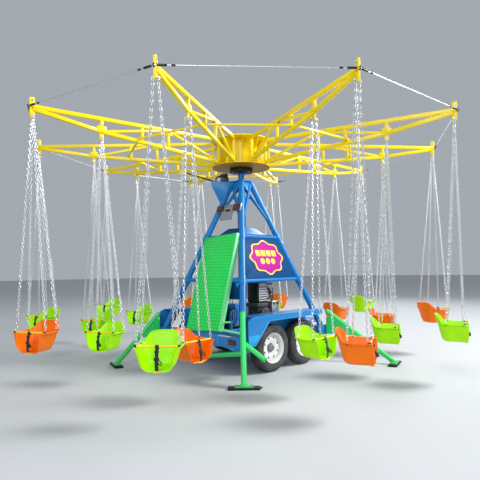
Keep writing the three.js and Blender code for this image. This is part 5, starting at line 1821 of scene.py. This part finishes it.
class RIDE_OT_power_unit(RideOperator, bpy.types.Operator):
    """Engine, tank, battery case, oil reservoir and valves on the deck"""

    bl_idname = "swing_ride.power_unit"
    bl_label = "Power Unit"

    def execute(self, context):
        finish = self.finishes(context)
        base = DECK_Z + 0.0005
        self.engine(finish, base)
        self.tanks(finish, base)
        self.hydraulics(finish, base)
        return {"FINISHED"}

    def engine(self, finish, base):
        """The skid, the finned engine with its fan, and the louvred cowl with the air filter."""
        rails = [
            block((-0.300, y, base), (0.330, y + 0.050, base + 0.050), 0.004)
            for y in (-0.640, -0.170)
        ]
        rails += [
            block((x, -0.638, base), (x + 0.050, -0.122, base + 0.046), 0.004)
            for x in (-0.300, 0.280)
        ]
        rails.append(block((-0.330, -0.300, base), (-0.250, 0.300, base + 0.040), 0.004))
        fit(paint(joined(rails), finish["black"]), "skid_rails", "base")
        engine = [block((-0.230, -0.560, base + 0.048), (0.080, -0.230, base + 0.180), 0.012, 3)]
        for k in range(9):
            z = base + 0.190 + k * 0.018
            engine.append(block((-0.200, -0.530, z), (0.040, -0.260, z + 0.009), 0.003))
        engine.append(block((-0.170, -0.500, base + 0.175), (0.010, -0.290, base + 0.355), 0.01))
        engine.append(block((-0.205, -0.535, base + 0.350), (0.045, -0.255, base + 0.420), 0.02, 3))
        engine.append(rod((0.070, -0.395, base + 0.120), (0.130, -0.395, base + 0.120), 0.05, 32))
        fan = turned([(0, 0), (0.105, 0), (0.110, 0.006), (0.110, 0.030), (0.090, 0.040),
                      (0.030, 0.034), (0, 0.036)], 40)
        engine.append(
            moved(fan, Matrix.Translation((-0.080, -0.558, base + 0.240))
                  @ Matrix.Rotation(math.pi / 2, 4, "X"))
        )
        fit(paint(joined(engine), finish["iron"]), "engine_block", "base",
            ["power_unit"])
        cowl = [block((-0.190, -0.520, base + 0.418), (0.040, -0.280, base + 0.760), 0.03, 4)]
        for k in range(6):
            z = base + 0.470 + k * 0.038
            cowl.append(block((-0.150, -0.526, z), (0.000, -0.518, z + 0.014), 0.003))
            cowl.append(block((-0.196, -0.480, z), (-0.188, -0.320, z + 0.014), 0.003))
        filter_can = rod((-0.140, -0.400, base + 0.790), (0.000, -0.400, base + 0.790), 0.045, 32)
        cowl = paint(joined([*cowl, filter_can]), finish["black"])
        repaint(cowl, finish["grey"], lambda middle, face: abs(middle.y + 0.520) < 0.001)
        fit(cowl, "engine_cowl", "base")

    def tanks(self, finish, base):
        """The battery case, and the fuel tank on its posts with straps, hose and cable."""
        case = block((0.120, -0.540, base + 0.046), (0.285, -0.340, base + 0.400), 0.006)
        lid = block((0.114, -0.546, base + 0.400), (0.291, -0.334, base + 0.430), 0.006)
        fit(paint(joined([case, lid]), finish["alloy"]), "battery_case", "base")
        tank = block((0.030, -0.480, base + 0.520), (0.190, -0.360, base + 0.770), 0.022, 4)
        neck = turned([(0, 0), (0.030, 0), (0.030, 0.018), (0.036, 0.020), (0.036, 0.040),
                       (0, 0.042)], 24)
        neck = moved(neck, Matrix.Translation((0.110, -0.420, base + 0.766)))
        fit(paint(joined([tank, neck]), finish["grey"]), "fuel_tank", "base")
        straps = [
            block((0.0285, -0.4815, z), (0.1915, -0.3585, z + 0.018), 0.001)
            for z in (base + 0.565, base + 0.700)
        ]
        straps += [
            rod((x, -0.420, base + 0.046), (x, -0.420, base + 0.530), 0.012) for x in (0.070, 0.100)
        ]
        straps += [
            block((x, -0.552, base + 0.375), (x + 0.024, -0.540, base + 0.425), 0.003)
            for x in (0.145, 0.235)
        ]
        hose = [
            (0.040 + 0.085 * math.sin(a), -0.500, base + 0.560 - 0.085 * math.cos(a))
            for a in (k * math.pi / 16 for k in range(17))
        ]
        straps.append(pipe([(-0.020, -0.500, base + 0.475), *hose, (-0.020, -0.5, base + 0.645)],
                           0.014))
        coil = [
            (0.225 + 0.026 * math.cos(a), -0.440 + 0.026 * math.sin(a), base + 0.430 + 0.0042 * k)
            for k, a in enumerate(k * math.pi / 5 for k in range(51))
        ]
        straps.append(pipe(coil, 0.007, 2))
        fit(paint(joined(straps), finish["black"]), "tank_straps", "base")

    def hydraulics(self, finish, base):
        """The oil reservoir, and the valves on their stand with levers and hoses."""
        reservoir = block((-0.420, 0.120, base), (-0.120, 0.460, base + 0.350), 0.015, 3)
        lid = block((-0.426, 0.114, base + 0.350), (-0.114, 0.466, base + 0.366), 0.004)
        stand = block((-0.640, -0.378, base), (-0.600, -0.342, base + 0.350), 0.004)
        foot = block((-0.650, -0.385, base), (-0.290, -0.335, base + 0.040), 0.004)
        valves = block((-0.700, -0.400, base + 0.345), (-0.560, -0.320, base + 0.430), 0.006)
        fit(paint(joined([reservoir, lid, valves]), finish["dark_blue"]), "oil_reservoir", "base")
        fit(paint(joined([stand, foot]), finish["blue"]), "valve_stand", "base")
        caps = [
            moved(turned([(0, 0), (0.034, 0), (0.034, 0.030), (0.028, 0.034), (0, 0.034)], 28),
                  Matrix.Translation((-0.345, 0.200, base + 0.365))),
            rod((-0.200, 0.380, base + 0.360), (-0.200, 0.380, base + 0.430), 0.040, 32),
        ]
        for x in (-0.680, -0.630, -0.580):
            caps.append(rod((x, -0.360, base + 0.425), (x - 0.030, -0.370, base + 0.540), 0.005))
            knob = (x - 0.030, -0.370, base + 0.540)
            caps.append(rod(knob, (knob[0] - 0.006, knob[1] - 0.002, knob[2] + 0.03), 0.011, 16))
        fit(paint(joined(caps), finish["black"]), "valve_levers", "base")
        hoses = []
        for k, x in enumerate((-0.675, -0.630, -0.585)):
            drop = 0.10 + 0.03 * k
            hoses.append(pipe(
                [
                    (x + 0.10 * t, -0.40 + 0.20 * t * t - 0.05 * math.sin(math.pi * t),
                     base + 0.38 - (0.345 - 0.02 * k) * math.sin(math.pi / 2 * t) ** 2
                     - drop * 0.1 * math.sin(math.pi * t))
                    for t in (j / 14 for j in range(15))
                ],
                0.008,
            ))
        fit(paint(joined(hoses), finish["rubber"]), "valve_hoses", "base")


class RIDE_OT_stage(RideOperator, bpy.types.Operator):
    """The pale floor, the soft lights and the camera at the photograph's angle"""

    bl_idname = "swing_ride.stage"
    bl_label = "Stage"

    def execute(self, context):
        scene = context.scene
        deselect()
        bpy.ops.mesh.primitive_circle_add(vertices=96, radius=60, fill_type="NGON")
        floor = bpy.context.object
        floor.name = "stage_floor"
        material, tree, shader = new_material("pale_matt_floor", 0.9)
        place = object_place(tree)
        pale = scene.swing_ride_colours.floor[:3]
        tone = mix(tree, noise(tree, place, 1.5, 6.0), darker(pale, 0.94), pale)
        tree.links.new(tone, shader.inputs["Base Color"])
        paint(floor, material)

        world = bpy.data.worlds.new("studio")
        scene.world = world
        world.use_nodes = True
        background = world.node_tree.nodes["Background"]
        background.inputs[0].default_value = (*linear("#dfe7f0"), 1.0)
        background.inputs[1].default_value = 0.5
        for name, spot, size, power in LIGHTS:
            light = bpy.data.lights.new(name, "AREA")
            light.size = size
            light.energy = power
            lamp = bpy.data.objects.new(name, light)
            lamp.location = spot
            aim = Vector((0, 0, 1.5)) - lamp.location
            lamp.rotation_euler = aim.to_track_quat("-Z", "Y").to_euler()
            scene.collection.objects.link(lamp)

        camera = bpy.data.objects.new("camera", bpy.data.cameras.new("camera"))
        camera.matrix_world = (
            Matrix.Translation(CAMERA_PLACE)
            @ Matrix.Rotation(CAMERA_PAN, 4, "Z")
            @ Matrix.Rotation(CAMERA_TILT, 4, "X")
            @ Matrix.Rotation(CAMERA_ROLL, 4, "Z")
        )
        camera.data.sensor_width = SENSOR_WIDTH
        camera.data.lens = SENSOR_WIDTH * LENS_PIXELS / IMAGE_WIDTH
        camera.data.shift_x = SHIFT_PIXELS[0] / IMAGE_WIDTH
        camera.data.shift_y = SHIFT_PIXELS[1] / IMAGE_WIDTH
        scene.collection.objects.link(camera)
        scene.camera = camera
        scene.view_settings.view_transform = "Standard"
        return {"FINISHED"}


class RIDE_PT_panel(bpy.types.Panel):
    """The ride's settings and operators"""

    bl_label = "Swing Ride"
    bl_idname = "RIDE_PT_panel"
    bl_space_type = "VIEW_3D"
    bl_region_type = "UI"
    bl_category = "Swing Ride"

    def draw(self, context):
        scene = context.scene
        for group in (scene.swing_ride_colours, scene.swing_ride_sizes):
            box = self.layout.box()
            for key in group.__annotations__:
                box.prop(group, key)
        for operator in OPERATORS:
            self.layout.operator(operator.bl_idname)


OPERATORS = (
    RIDE_OT_stage,
    RIDE_OT_arms,
    RIDE_OT_hub,
    RIDE_OT_stays,
    RIDE_OT_seats,
    RIDE_OT_tower,
    RIDE_OT_drive,
    RIDE_OT_panels,
    RIDE_OT_ramp,
    RIDE_OT_light_bar,
    RIDE_OT_trailer,
    RIDE_OT_wheels,
    RIDE_OT_mudguards,
    RIDE_OT_outriggers,
    RIDE_OT_power_unit,
)
CLASSES = (RideColours, RideSizes, *OPERATORS, RIDE_PT_panel)


def register():
    for cls in CLASSES:
        bpy.utils.register_class(cls)
    bpy.types.Scene.swing_ride_colours = bpy.props.PointerProperty(type=RideColours)
    bpy.types.Scene.swing_ride_sizes = bpy.props.PointerProperty(type=RideSizes)


def unregister():
    del bpy.types.Scene.swing_ride_sizes
    del bpy.types.Scene.swing_ride_colours
    for cls in reversed(CLASSES):
        bpy.utils.unregister_class(cls)


def main():
    register()
    for operator in OPERATORS:
        group, name = operator.bl_idname.split(".")
        getattr(getattr(bpy.ops, group), name)()


if __name__ == "__main__":
    main()
